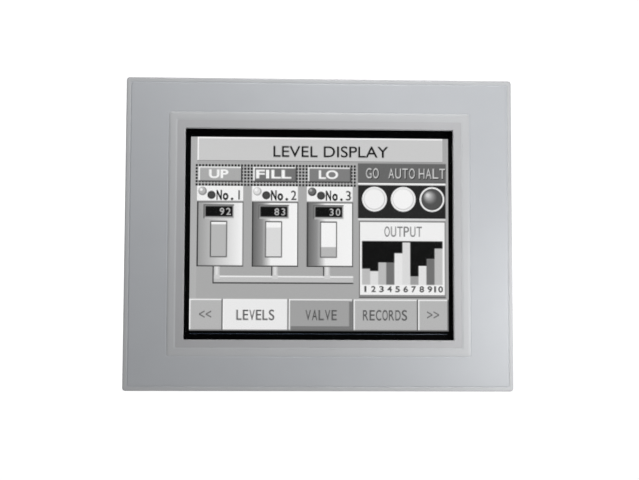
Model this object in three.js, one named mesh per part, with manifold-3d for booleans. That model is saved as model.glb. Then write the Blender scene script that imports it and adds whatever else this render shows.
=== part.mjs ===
// Operator touch panel for a control cabinet door: a flat bezel that seals against the front of the
// door, a rear case that passes through the door's cut-out, and four screw clamps that pull it tight.
// Millimetres. X runs right as the operator sees it, Y runs back through the door, Z runs up.
// The origin is the centre of the cut-out, in the plane where the gasket meets the door.
import * as THREE from "three";
import { mergeVertices } from "three/addons/utils/BufferGeometryUtils.js";
import Module from "manifold-3d";

// ---- Driving dimensions ----

const GAP = 0.3; // kept between neighbouring pieces
const RIGHT_ANGLE = Math.PI / 2;
const SIDES = [-1, 1];

const BEZEL = {
  width: 171,
  height: 138,
  corner: 1.3,
  face: -7.6, // flat front face
  back: -0.9,
  edge: 0.5, // chamfer round the front edge
  groove: { inset: 1.8, width: 0.5, depth: 0.16 }, // thin line round the face, just inside its edge
};
const RING = { width: 132, height: 106.4, corner: 1.1, band: 2.6, slope: 0.5, top: -7.8 }; // raised band
const WINDOW = { width: 118.7, height: 93.3, front: -7.3, back: -5 };
const GASKET = { width: 168, height: 135, band: 4.7, front: -2.2, back: 0 };

const TOUCH = { width: 123, height: 97, filmFront: -4.9, filmBack: -4.7, glassFront: -4.4, glassBack: -2.6 };
const PICTURE = { width: 115.2, height: 86.4, x: 0.35, z: 0.4 }; // active area of the display
const DISPLAY = { width: 144, height: 104.6, front: -2, back: 5, skin: 0.6 };
const MASK = { front: -2.4, back: -2.1, reveal: 0.6 }; // black border printed round the picture
const CELL = { width: 124, height: 94, front: -1.1, back: 1.1 };
const LIGHT_GUIDE = { width: 122, height: 91, front: 1.4, back: 5.3 };
const LAMP = { y: 3.35, below: 48.6, radius: 1.3, halfLength: 64 }; // below the middle of the picture
const REFLECTOR = { halfLength: 61, front: 1.3, back: 5.4, below: 2.4, above: 2, wall: 0.4 };
const TRAY = { width: 142, height: 102.6, front: 5.8, back: 9.8, wall: 4, floor: 1.2 };

const CASE = {
  width: 155.5,
  height: 123,
  front: -0.6,
  back: 52,
  wall: 2.5,
  shelf: -40, // underside of the deep part, where the connectors are
  lobeBack: 24, // back of the shallow part below it
  fillet: 2.5,
};
const CHASSIS = { width: 149.2, height: 115, front: 11, back: 12.2 };
const MAIN_BOARD = { front: 26, back: 27.6, halfWidth: 68, bottom: -36, top: 56 };
const BOARD_PARTS = MAIN_BOARD.back + GAP + 0.1; // where parts on the back of the main board begin
const POWER_BOARD = { front: 15, back: 16.6, left: -66, right: -8, bottom: -18, top: 44 };
const PROCESSOR = { size: 28, thickness: 2.4, x: 10, z: 20 };
const BATTERY = { radius: 10, thickness: 3.2, x: -46, z: 34 };
const BUZZER = { radius: 6, height: 8.5, hole: 1, x: -18, z: 42 };
const CAPACITOR = { radius: 4, left: -54, right: -34, z: 30 };
const INVERTER_BOARD = { front: 14, back: 15.2, left: 10, right: 44, bottom: -55.2, top: -42 };

const VENT = { width: 3, pitch: 9, front: 30, back: 46, each: 6, sideBottom: -22, sideCount: 7 };
const CASE_SCREW = { x: 71.5, bottom: -33.5, top: 55, head: 2.8, shank: 1.4, tip: 36, boss: 4.2 };
const PORT_Y = 34.85; // middle of the row of connectors
const CONNECTOR_TOP = -25; // top of the serial and network connectors' housings
const SERIAL = {
  x: -14,
  jackPitch: 47.04,
  shellWidth: 38.3,
  shellHeight: 8.4,
  halfFlange: 26.5,
  halfHousing: 19.5,
};
const TOOL_PORT_X = 26;
const SOCKET_FRONT = 28; // the power socket and the network port stand between these two depths
const SOCKET_BACK = 41.5;
const ETHERNET = { x: 50, width: 16, socketWidth: 11.8 };
const POWER = { left: -68, right: -47, pitch: 5.08, screwZ: -47.5, plugBottom: -53 };

const DOOR = { front: 24.5, back: 44.5, bottom: -29, top: 43, hingeX: 76.5, hingeY: 26.5 };
const CARD = { left: 33, right: 70, mouth: 43.6, thickness: 4.4, z: 12 };
const DIP = { z: -19.7, pitch: 2.54, count: 4, right: 70 };

const CLAMP = {
  upperX: 50,
  lowerX: 43.5, // nearer the middle, so that the power plug pulls down past the screw
  width: 8,
  screwZ: 65.2, // height of the screw's axis above the cut-out's centre
  lugBack: 25,
  neckFront: 13,
  neckBack: 17.2,
  tongueBack: 21,
  slotFront: 5,
  slotBack: 17.5,
  padFront: 9.3,
  headFront: 34,
};

// ---- Solids ----

const wasm = await Module();
wasm.setup();

// A closed three.js geometry as a solid that can be cut and joined.
function solidOf(geometry) {
  const bare = geometry.clone();
  bare.deleteAttribute("normal");
  bare.deleteAttribute("uv");
  const merged = mergeVertices(bare, 1e-4);
  return new wasm.Manifold(
    new wasm.Mesh({
      numProp: 3,
      vertProperties: new Float32Array(merged.attributes.position.array),
      triVerts: new Uint32Array(merged.index.array),
    }),
  );
}

// A solid as a three.js geometry.
function geometryOf(solid) {
  const mesh = solid.getMesh();
  const geometry = new THREE.BufferGeometry();
  geometry.setAttribute("position", new THREE.BufferAttribute(mesh.vertProperties, 3));
  geometry.setIndex(new THREE.BufferAttribute(mesh.triVerts, 1));
  return geometry;
}

// The first geometry with the others cut from it.
function cut(body, ...tools) {
  return geometryOf(tools.reduce((solid, tool) => solid.subtract(solidOf(tool)), solidOf(body)));
}

// All the geometries joined as one.
function join(first, ...others) {
  return geometryOf(others.reduce((solid, other) => solid.add(solidOf(other)), solidOf(first)));
}

// What two geometries have in common.
function common(first, second) {
  return geometryOf(solidOf(first).intersect(solidOf(second)));
}

// A box between two corners.
function box([x0, y0, z0], [x1, y1, z1]) {
  const geometry = new THREE.BoxGeometry(x1 - x0, y1 - y0, z1 - z0);
  return geometry.translate((x0 + x1) / 2, (y0 + y1) / 2, (z0 + z1) / 2);
}

// A cylinder whose axis runs along X, Y or Z between two places on it; at holds the other two coordinates.
function rod(axis, at, radius, from, to, facets = 20) {
  const geometry = new THREE.CylinderGeometry(radius, radius, to - from, facets);
  const middle = (from + to) / 2;
  if (axis === "x") return geometry.rotateZ(RIGHT_ANGLE).translate(middle, at[0], at[1]);
  if (axis === "z") return geometry.rotateX(RIGHT_ANGLE).translate(at[0], at[1], middle);
  return geometry.translate(at[0], middle, at[1]);
}

// A rounded rectangle seen along Y, as a three.js shape.
function roundedRectangle(width, height, corner, x = 0, z = 0) {
  const halfWidth = width / 2 - corner;
  const halfHeight = height / 2 - corner;
  const shape = new THREE.Shape();
  shape.absarc(x + halfWidth, z + halfHeight, corner, 0, RIGHT_ANGLE, false);
  shape.absarc(x - halfWidth, z + halfHeight, corner, RIGHT_ANGLE, 2 * RIGHT_ANGLE, false);
  shape.absarc(x - halfWidth, z - halfHeight, corner, 2 * RIGHT_ANGLE, 3 * RIGHT_ANGLE, false);
  shape.absarc(x + halfWidth, z - halfHeight, corner, 3 * RIGHT_ANGLE, 4 * RIGHT_ANGLE, false);
  return shape;
}

// A shape drawn in X and Z, made solid from one depth to another.
function alongY(shape, front, back, curveSegments = 4) {
  const settings = { depth: back - front, bevelEnabled: false, curveSegments };
  const geometry = new THREE.ExtrudeGeometry(shape, settings);
  return geometry.rotateX(RIGHT_ANGLE).translate(0, back, 0);
}

// A shape drawn in Y and Z, made solid from one side to the other.
function alongX(shape, left, right, curveSegments = 4) {
  const settings = { depth: right - left, bevelEnabled: false, curveSegments };
  const geometry = new THREE.ExtrudeGeometry(shape, settings);
  const turned = new THREE.Matrix4().makeBasis(
    new THREE.Vector3(0, 1, 0),
    new THREE.Vector3(0, 0, 1),
    new THREE.Vector3(1, 0, 0),
  );
  return geometry.applyMatrix4(turned).translate(left, 0, 0);
}

// A flat plate facing along Y.
function plate(width, height, corner, front, back, x = 0, z = 0) {
  return alongY(roundedRectangle(width, height, corner, x, z), front, back);
}

// A flat plate with a rectangular opening.
function framePlate(outer, opening, front, back, x = 0, z = 0) {
  const shape = roundedRectangle(outer.width, outer.height, outer.corner, x, z);
  shape.holes.push(roundedRectangle(opening.width, opening.height, opening.corner, x, z));
  return alongY(shape, front, back);
}

// A ring-shaped moulding. Each section is a rounded rectangle seen along Y, as half width, half
// height, corner and depth, and the sections follow one another round the moulding's cross-section.
function moulding(sections, cornerSteps = 4) {
  const positions = [];
  const faces = [];
  const quarters = [[1, 1], [-1, 1], [-1, -1], [1, -1]];
  for (const [halfWidth, halfHeight, corner, y] of sections) {
    quarters.forEach(([signX, signZ], quarter) => {
      for (let step = 0; step <= cornerSteps; step++) {
        const angle = (quarter + step / cornerSteps) * RIGHT_ANGLE;
        const x = signX * (halfWidth - corner) + corner * Math.cos(angle);
        const z = signZ * (halfHeight - corner) + corner * Math.sin(angle);
        positions.push(x, y, z);
      }
    });
  }
  const around = quarters.length * (cornerSteps + 1);
  for (let section = 0; section < sections.length; section++) {
    const next = (section + 1) % sections.length;
    for (let point = 0; point < around; point++) {
      const beside = (point + 1) % around;
      const here = section * around;
      const there = next * around;
      faces.push(here + point, here + beside, there + beside);
      faces.push(here + point, there + beside, there + point);
    }
  }
  const geometry = new THREE.BufferGeometry();
  geometry.setAttribute("position", new THREE.Float32BufferAttribute(positions, 3));
  geometry.setIndex(faces);
  return geometry;
}

// A flat flexible strip: a line of [y, z] points given a thickness, and a width along X.
function ribbon(points, thickness, left, right) {
  const line = points.map(([y, z]) => new THREE.Vector2(y, z));
  const edge = (side) =>
    line.map((point, index) => {
      const before = line[Math.max(index - 1, 0)];
      const after = line[Math.min(index + 1, line.length - 1)];
      const along = after.clone().sub(before).normalize();
      return point.clone().add(new THREE.Vector2(-along.y, along.x).multiplyScalar((side * thickness) / 2));
    });
  return alongX(new THREE.Shape([...edge(-1), ...edge(1).reverse()]), left, right);
}

// ---- Materials ----

function material(color, roughness, metalness = 0) {
  return new THREE.MeshStandardMaterial({ color, roughness, metalness });
}

const bezelPlastic = material(0xb4b7bb, 0.55);
const casePlastic = material(0x8a8d90, 0.6);
const blackPlastic = material(0x1c1c1e, 0.5);
const whitePlastic = material(0xe6e6e2, 0.5);
const greenPlastic = material(0x3f7f55, 0.5);
const foamRubber = material(0x2a2a2b, 0.9);
const clearFilm = material(0xcfd3d6, 0.15);
const glass = material(0xc3cccc, 0.05);
const blackPrint = material(0x050505, 0.4);
const acrylic = material(0xe9eff2, 0.1);
const sheetSteel = material(0xb9bcc0, 0.35, 1);
const brightSteel = material(0xd4d6d8, 0.25, 1);
const circuitBoard = material(0x1f5a3c, 0.5);
const ferrite = material(0x3a3a3c, 0.8);
const amberFilm = material(0xb98a3c, 0.4);
const greyInsulation = material(0x9a9c9f, 0.6);

const panel = new THREE.Group();

// Adds one sub-part to the panel.
function add(name, geometry, look) {
  const mesh = new THREE.Mesh(geometry, look);
  mesh.name = name;
  panel.add(mesh);
}

// ---- Front: bezel, gasket and touch screen ----

function makeFront() {
  const halfWidth = BEZEL.width / 2;
  const halfHeight = BEZEL.height / 2;
  const ringHalfWidth = RING.width / 2;
  const ringHalfHeight = RING.height / 2;
  const windowHalfWidth = WINDOW.width / 2;
  const windowHalfHeight = WINDOW.height / 2;
  const windowCorner = 0.4;
  const glassPocket = [TOUCH.width / 2 + 0.5, TOUCH.height / 2 + 0.5, 0.4];
  const displayPocket = [DISPLAY.width / 2 + 1, DISPLAY.height / 2 + 0.9, 1];
  const pocketStep = -2.1;
  const { groove, edge, face } = BEZEL;
  const grooveOuter = groove.inset;
  const grooveInner = groove.inset + groove.width;
  const grooveSlope = 0.1;
  const grooveCorner = 0.8;
  const ringInner = RING.band + RING.slope;
  const gasketOuter = [GASKET.width / 2, GASKET.height / 2, 2.2];
  const gasketInner = [GASKET.width / 2 - GASKET.band, GASKET.height / 2 - GASKET.band, 1.6];
  const grow = ([w, h, corner], by) => [w + by, h + by, corner];

  const shell = moulding([
    [halfWidth, halfHeight, BEZEL.corner, BEZEL.back],
    [halfWidth, halfHeight, BEZEL.corner, face + edge],
    [halfWidth - edge, halfHeight - edge, BEZEL.corner, face],
    [halfWidth - grooveOuter, halfHeight - grooveOuter, grooveCorner, face],
    [
      halfWidth - grooveOuter - grooveSlope,
      halfHeight - grooveOuter - grooveSlope,
      grooveCorner,
      face + groove.depth,
    ],
    [
      halfWidth - grooveInner + grooveSlope,
      halfHeight - grooveInner + grooveSlope,
      grooveCorner,
      face + groove.depth,
    ],
    [halfWidth - grooveInner, halfHeight - grooveInner, grooveCorner, face],
    [ringHalfWidth + RING.slope, ringHalfHeight + RING.slope, RING.corner, face],
    [ringHalfWidth, ringHalfHeight, RING.corner, RING.top],
    [ringHalfWidth - RING.band, ringHalfHeight - RING.band, RING.corner, RING.top],
    [ringHalfWidth - ringInner, ringHalfHeight - ringInner, RING.corner, face],
    [windowHalfWidth + GAP, windowHalfHeight + GAP, windowCorner, face],
    [windowHalfWidth, windowHalfHeight, windowCorner, WINDOW.front],
    [windowHalfWidth, windowHalfHeight, windowCorner, WINDOW.back],
    [...glassPocket, WINDOW.back],
    [...glassPocket, pocketStep],
    [...displayPocket, pocketStep],
    [...displayPocket, BEZEL.back],
    [...grow(gasketInner, -GAP), BEZEL.back],
    [...grow(gasketInner, -GAP), GASKET.front - GAP],
    [...grow(gasketOuter, GAP), GASKET.front - GAP],
    [...grow(gasketOuter, GAP), BEZEL.back],
  ]);
  // a notch below the glass lets the touch screen's tail pass
  const tailNotch = box([-5, -4.7, -displayPocket[1] + 0.01], [5, pocketStep + 0.5, -glassPocket[1] + 0.2]);
  add("front_bezel", cut(shell, tailNotch), bezelPlastic);

  const gasket = moulding([
    [...gasketOuter, GASKET.back],
    [...gasketOuter, GASKET.front],
    [...gasketInner, GASKET.front],
    [...gasketInner, GASKET.back],
  ]);
  add("panel_gasket", gasket, foamRubber);

  add("touch_film", plate(TOUCH.width, TOUCH.height, 0.5, TOUCH.filmFront, TOUCH.filmBack), clearFilm);
  add("touch_glass", plate(TOUCH.width, TOUCH.height, 0.5, TOUCH.glassFront, TOUCH.glassBack), glass);

  const mask = roundedRectangle(TOUCH.width - 1, TOUCH.height - 1, 0.5);
  const openingWidth = PICTURE.width + MASK.reveal;
  const openingHeight = PICTURE.height + MASK.reveal;
  mask.holes.push(roundedRectangle(openingWidth, openingHeight, 0.2, PICTURE.x, PICTURE.z));
  add("screen_mask", alongY(mask, MASK.front, MASK.back), blackPrint);
}

// ---- Display module ----

function makeDisplay() {
  const { x, z } = PICTURE;
  const { width, height, front, back, skin } = DISPLAY;
  const face = framePlate(
    { width, height, corner: 0.8 },
    { width: PICTURE.width + 2, height: PICTURE.height + 2, corner: 0.3 },
    front,
    front + skin,
    x,
    z,
  );
  const walls = framePlate(
    { width, height, corner: 0.8 },
    { width: width - 2 * skin, height: height - 2 * skin, corner: 0.4 },
    front + skin / 2,
    back,
    x,
    z,
  );
  add("lcd_front_frame", join(face, walls), sheetSteel);

  const sheetCorner = 0.3;
  add("lcd_cell", plate(CELL.width, CELL.height, sheetCorner, CELL.front, CELL.back, x, z), glass);
  const { front: guideFront, back: guideBack } = LIGHT_GUIDE;
  const guide = plate(LIGHT_GUIDE.width, LIGHT_GUIDE.height, sheetCorner, guideFront, guideBack, x, z);
  add("light_guide", guide, acrylic);

  const lampZ = z - LAMP.below;
  const lamp = rod("x", [LAMP.y, lampZ], LAMP.radius, x - LAMP.halfLength, x + LAMP.halfLength, 12);
  add("backlight_lamp", lamp, whitePlastic);

  // a polished channel that opens towards the light guide
  const { halfLength, wall, front: channelFront, back: channelBack } = REFLECTOR;
  const channelBottom = lampZ - REFLECTOR.below;
  const channelTop = lampZ + REFLECTOR.above;
  const channelOuter = box(
    [x - halfLength, channelFront, channelBottom],
    [x + halfLength, channelBack, channelTop],
  );
  const channelInner = box(
    [x - halfLength - 1, channelFront + wall, channelBottom + wall],
    [x + halfLength + 1, channelBack - wall, channelTop + 1],
  );
  add("lamp_reflector", cut(channelOuter, channelInner), brightSteel);

  const tray = plate(TRAY.width, TRAY.height, 0.8, TRAY.front, TRAY.back, x, z);
  const hollowWidth = TRAY.width - 2 * TRAY.wall;
  const hollowHeight = TRAY.height - 2 * TRAY.wall;
  const hollow = plate(hollowWidth, hollowHeight, 0.8, TRAY.front - 1, TRAY.back - TRAY.floor, x, z);
  const leadNotch = box([64, TRAY.front - 1, -53], [73, TRAY.back + 1, -43.5]);
  add("lcd_rear_tray", cut(tray, hollow, leadNotch), whitePlastic);
}

// ---- Boards and what carries them ----

const MAIN_STANDOFFS = [[-62, 50], [62, 50], [-62, -22], [54, -22]];
const POWER_STANDOFFS = [[-62, 40], [-12, 40], [-62, -14], [-12, -14]];
const INVERTER_STANDOFFS = [[14, -52.6], [14, -45], [40, -52.6]];

// A post that holds a board, with a peg through the board's hole.
function standoff([x, z], board) {
  const post = rod("y", [x, z], 2, CHASSIS.front + 0.5, board.front - GAP, 12);
  const peg = rod("y", [x, z], 1, CHASSIS.front + 0.5, board.back + 0.2, 12);
  return join(post, peg);
}

// A circuit board with holes for its standoffs.
function circuitPlate(board, left, right, bottom, top, standoffs) {
  const blank = box([left, board.front, bottom], [right, board.back, top]);
  const holes = standoffs.map((at) => rod("y", at, 1 + GAP, board.front - 1, board.back + 1, 12));
  return cut(blank, ...holes);
}

function makeElectronics() {
  const { front, back } = CHASSIS;
  const pieces = [plate(CHASSIS.width, CHASSIS.height, 1.5, front, back)];
  for (const side of SIDES) {
    for (const end of SIDES) {
      // a foot that reaches forward to the bezel
      const footX = side * 62;
      const footZ = end * 55.6;
      pieces.push(box([footX - 4, CASE.front, footZ - 1.9], [footX + 4, back - 0.2, footZ + 1.9]));
    }
    for (const screwZ of [CASE_SCREW.bottom, CASE_SCREW.top]) {
      pieces.push(rod("y", [side * CASE_SCREW.x, screwZ], 3, back - 0.5, 44.2));
    }
  }
  for (const at of MAIN_STANDOFFS) pieces.push(standoff(at, MAIN_BOARD));
  for (const at of POWER_STANDOFFS) pieces.push(standoff(at, POWER_BOARD));
  for (const at of INVERTER_STANDOFFS) pieces.push(standoff(at, INVERTER_BOARD));

  const threads = SIDES.flatMap((side) =>
    [CASE_SCREW.bottom, CASE_SCREW.top].map((screwZ) =>
      rod("y", [side * CASE_SCREW.x, screwZ], CASE_SCREW.shank + GAP, CASE_SCREW.tip - 0.5, 46),
    ),
  );
  const through = [front - 1, back + 1];
  const ribbonSlot = box([6, through[0], 35], [44, through[1], 51]);
  const coolingHole = box([-48, through[0], -6], [-20, through[1], 30]);
  const leadHole = box([61, through[0], -51.5], [72, through[1], -42]);
  const tailSlot = box([-5.5, through[0], -54.2], [5.5, through[1], -51.2]);
  const chassis = cut(join(...pieces), ...threads, ribbonSlot, coolingHole, leadHole, tailSlot);
  add("support_chassis", chassis, sheetSteel);

  const mainWidth = MAIN_BOARD.halfWidth;
  const main = circuitPlate(
    MAIN_BOARD, -mainWidth, mainWidth, MAIN_BOARD.bottom, MAIN_BOARD.top, MAIN_STANDOFFS,
  );
  add("main_board", main, circuitBoard);
  const { size, x: processorX, z: processorZ } = PROCESSOR;
  const processorBack = BOARD_PARTS + PROCESSOR.thickness;
  const processor = plate(size, size, 0.6, BOARD_PARTS, processorBack, processorX, processorZ);
  add("processor", processor, blackPlastic);
  const batteryBack = BOARD_PARTS + BATTERY.thickness;
  const battery = rod("y", [BATTERY.x, BATTERY.z], BATTERY.radius, BOARD_PARTS, batteryBack, 32);
  add("backup_battery", battery, brightSteel);
  const buzzerAt = [BUZZER.x, BUZZER.z];
  const buzzerBack = BOARD_PARTS + BUZZER.height;
  const buzzer = cut(
    rod("y", buzzerAt, BUZZER.radius, BOARD_PARTS, buzzerBack, 24),
    rod("y", buzzerAt, BUZZER.hole, buzzerBack - 2.5, buzzerBack + 1, 12),
  );
  add("buzzer", buzzer, blackPlastic);

  const power = circuitPlate(
    POWER_BOARD, POWER_BOARD.left, POWER_BOARD.right, POWER_BOARD.bottom, POWER_BOARD.top, POWER_STANDOFFS,
  );
  add("power_board", power, circuitBoard);
  const partsFront = POWER_BOARD.back + GAP;
  const partsBack = MAIN_BOARD.front - GAP;
  const core = box([-56, partsFront, 4], [-34, partsBack, 10]);
  const coil = box([-52, partsFront + 0.5, 0], [-38, partsBack - 0.5, 14]);
  add("power_transformer", join(core, coil), ferrite);
  const { radius, left: canLeft, right: canRight } = CAPACITOR;
  const can = rod("x", [partsFront + radius, CAPACITOR.z], radius, canLeft, canRight, 20);
  add("bulk_capacitor", can, blackPlastic);

  const inverter = circuitPlate(
    INVERTER_BOARD,
    INVERTER_BOARD.left,
    INVERTER_BOARD.right,
    INVERTER_BOARD.bottom,
    INVERTER_BOARD.top,
    INVERTER_STANDOFFS,
  );
  const leadSocket = box([38, INVERTER_BOARD.back - 0.2, -50.5], [INVERTER_BOARD.right, 19, -44.5]);
  add("inverter_board", join(inverter, leadSocket), circuitBoard);
  const inverterPartsFront = INVERTER_BOARD.back + GAP;
  add("inverter_transformer", box([18, inverterPartsFront, -54], [34, 21, -45]), ferrite);
}

// ---- Leads that join the boards and the screen ----

function makeLeads() {
  const displayRibbon = ribbon(
    [[10.3, 36], [10.3, 44], [13, 46.5], [20, 45], [25.4, 38], [25.4, 30]],
    0.25,
    12,
    38,
  );
  add("display_ribbon", displayRibbon, whitePlastic);

  const tail = ribbon(
    [[-4.2, -49.1], [-4.2, -52.3], [-3.8, -52.7], [13, -52.7], [18, -36], [25.4, -32], [25.4, -27]],
    0.25,
    -4,
    4,
  );
  add("touch_tail", tail, amberFilm);

  const route = new THREE.CatmullRomCurve3([
    new THREE.Vector3(65.2, 3.35, -48.2),
    new THREE.Vector3(67, 4.5, -47.8),
    new THREE.Vector3(67.6, 9, -47.2),
    new THREE.Vector3(66.6, 14, -47.1),
    new THREE.Vector3(60, 17, -47.3),
    new THREE.Vector3(52, 17, -47.5),
    new THREE.Vector3(44.4, 17, -47.5),
  ]);
  const round = new THREE.Shape().absarc(0, 0, 0.7, 0, 4 * RIGHT_ANGLE, false);
  const lead = new THREE.ExtrudeGeometry(round, {
    steps: 20,
    curveSegments: 8,
    bevelEnabled: false,
    extrudePath: route,
  });
  add("lamp_lead", lead, greyInsulation);
}

// ---- Rear case ----

// The case's outline seen from the side, grown or shrunk by an inset.
function caseOutline(inset) {
  const { front, back, height, shelf, lobeBack, fillet } = CASE;
  const bottom = -height / 2 + inset;
  const top = height / 2 - inset;
  const rear = back - inset;
  const lobeRear = lobeBack - inset;
  const step = shelf + inset;
  const start = inset ? front - 1 : front;
  const radius = Math.max(fillet - inset, 0.5);
  const shape = new THREE.Shape();
  shape.moveTo(start, bottom);
  shape.lineTo(lobeRear - radius, bottom);
  shape.absarc(lobeRear - radius, bottom + radius, radius, -RIGHT_ANGLE, 0, false);
  shape.lineTo(lobeRear, step);
  shape.absarc(rear - radius, step + radius, radius, -RIGHT_ANGLE, 0, false);
  shape.absarc(rear - radius, top - radius, radius, 0, RIGHT_ANGLE, false);
  shape.lineTo(start, top);
  return shape;
}

// Slots that let warm air out of the top, the back and the side away from the card door.
function ventSlots() {
  const { width, height, back, wall } = CASE;
  const slots = [];
  const half = VENT.width / 2;
  const inside = wall + 1;
  for (let index = -VENT.each; index <= VENT.each; index++) {
    const x = index * VENT.pitch;
    slots.push(box([x - half, VENT.front, height / 2 - inside], [x + half, VENT.back, height / 2 + 1]));
    slots.push(box([x - half, back - inside, 22], [x + half, back + 1, 42]));
  }
  for (let index = 0; index < VENT.sideCount; index++) {
    const z = VENT.sideBottom + index * VENT.pitch;
    slots.push(box([-width / 2 - 1, VENT.front, z - half], [inside - width / 2, VENT.back, z + half]));
  }
  return slots;
}

// Openings in the shelf for the connectors.
function connectorCutouts() {
  const low = CASE.shelf - 1;
  const high = CASE.shelf + CASE.wall + 1;
  const halfEthernet = ETHERNET.width / 2 + GAP;
  const jackOffset = SERIAL.jackPitch / 2;
  return [
    box([POWER.left - GAP, SOCKET_FRONT - GAP, low], [POWER.right + GAP, SOCKET_BACK + GAP, high]),
    box(
      [ETHERNET.x - halfEthernet, SOCKET_FRONT - GAP, low],
      [ETHERNET.x + halfEthernet, SOCKET_BACK + GAP, high],
    ),
    box(
      [SERIAL.x - SERIAL.shellWidth / 2 - GAP, PORT_Y - SERIAL.shellHeight / 2 - GAP, low],
      [SERIAL.x + SERIAL.shellWidth / 2 + GAP, PORT_Y + SERIAL.shellHeight / 2 + GAP, high],
    ),
    rod("z", [TOOL_PORT_X, PORT_Y], 6.4, low, high, 28),
    rod("z", [SERIAL.x - jackOffset, PORT_Y], 1.8, low, high, 12),
    rod("z", [SERIAL.x + jackOffset, PORT_Y], 1.8, low, high, 12),
  ];
}

function makeRearCase() {
  const { width, height, front, back, wall } = CASE;
  const halfWidth = width / 2;
  const outer = common(
    alongX(caseOutline(0), -halfWidth, halfWidth),
    plate(width, height, 2, front - 1, back + 1),
  );
  const inner = alongX(caseOutline(wall), -halfWidth + wall, halfWidth - wall);
  const bosses = [];
  const cuts = [...ventSlots(), ...connectorCutouts()];
  let screwNumber = 1;
  for (const screwZ of [CASE_SCREW.bottom, CASE_SCREW.top]) {
    for (const side of SIDES) {
      const at = [side * CASE_SCREW.x, screwZ];
      bosses.push(rod("y", at, CASE_SCREW.boss, 44.6, back - wall / 2));
      cuts.push(rod("y", at, CASE_SCREW.shank + GAP, 43, back, 12));
      cuts.push(rod("y", at, CASE_SCREW.head + GAP, 49.4, back + 1));
      const head = rod("y", at, CASE_SCREW.head, 49.7, 51.7);
      const shank = rod("y", at, CASE_SCREW.shank, CASE_SCREW.tip, 50, 12);
      const recess = box([at[0] - 1.8, 50.7, at[1] - 0.35], [at[0] + 1.8, 52, at[1] + 0.35]);
      const crossRecess = box([at[0] - 0.35, 50.7, at[1] - 1.8], [at[0] + 0.35, 52, at[1] + 1.8]);
      add(`case_screw_${screwNumber}`, cut(join(head, shank), recess, crossRecess), brightSteel);
      screwNumber += 1;
    }
  }
  for (const side of SIDES) {
    for (const end of SIDES) {
      const slotX = side * (end > 0 ? CLAMP.upperX : CLAMP.lowerX);
      const slotZ = [end * (height / 2 + 1), end * (height / 2 - wall - 1)].sort((a, b) => a - b);
      const half = CLAMP.width / 2 - 0.5;
      cuts.push(box([slotX - half, CLAMP.slotFront, slotZ[0]], [slotX + half, CLAMP.slotBack, slotZ[1]]));
    }
  }
  cuts.push(box([halfWidth - wall - 1, DOOR.front, DOOR.bottom], [halfWidth + 1, DOOR.back, DOOR.top]));
  cuts.push(rod("z", [DOOR.hingeX, DOOR.hingeY], 0.9, DOOR.bottom - 2, DOOR.top + 2, 12));
  const shell = common(join(cut(outer, inner), ...bosses), outer);
  add("rear_case", cut(shell, ...cuts), casePlastic);
}

// ---- Connectors on the shelf ----

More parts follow.
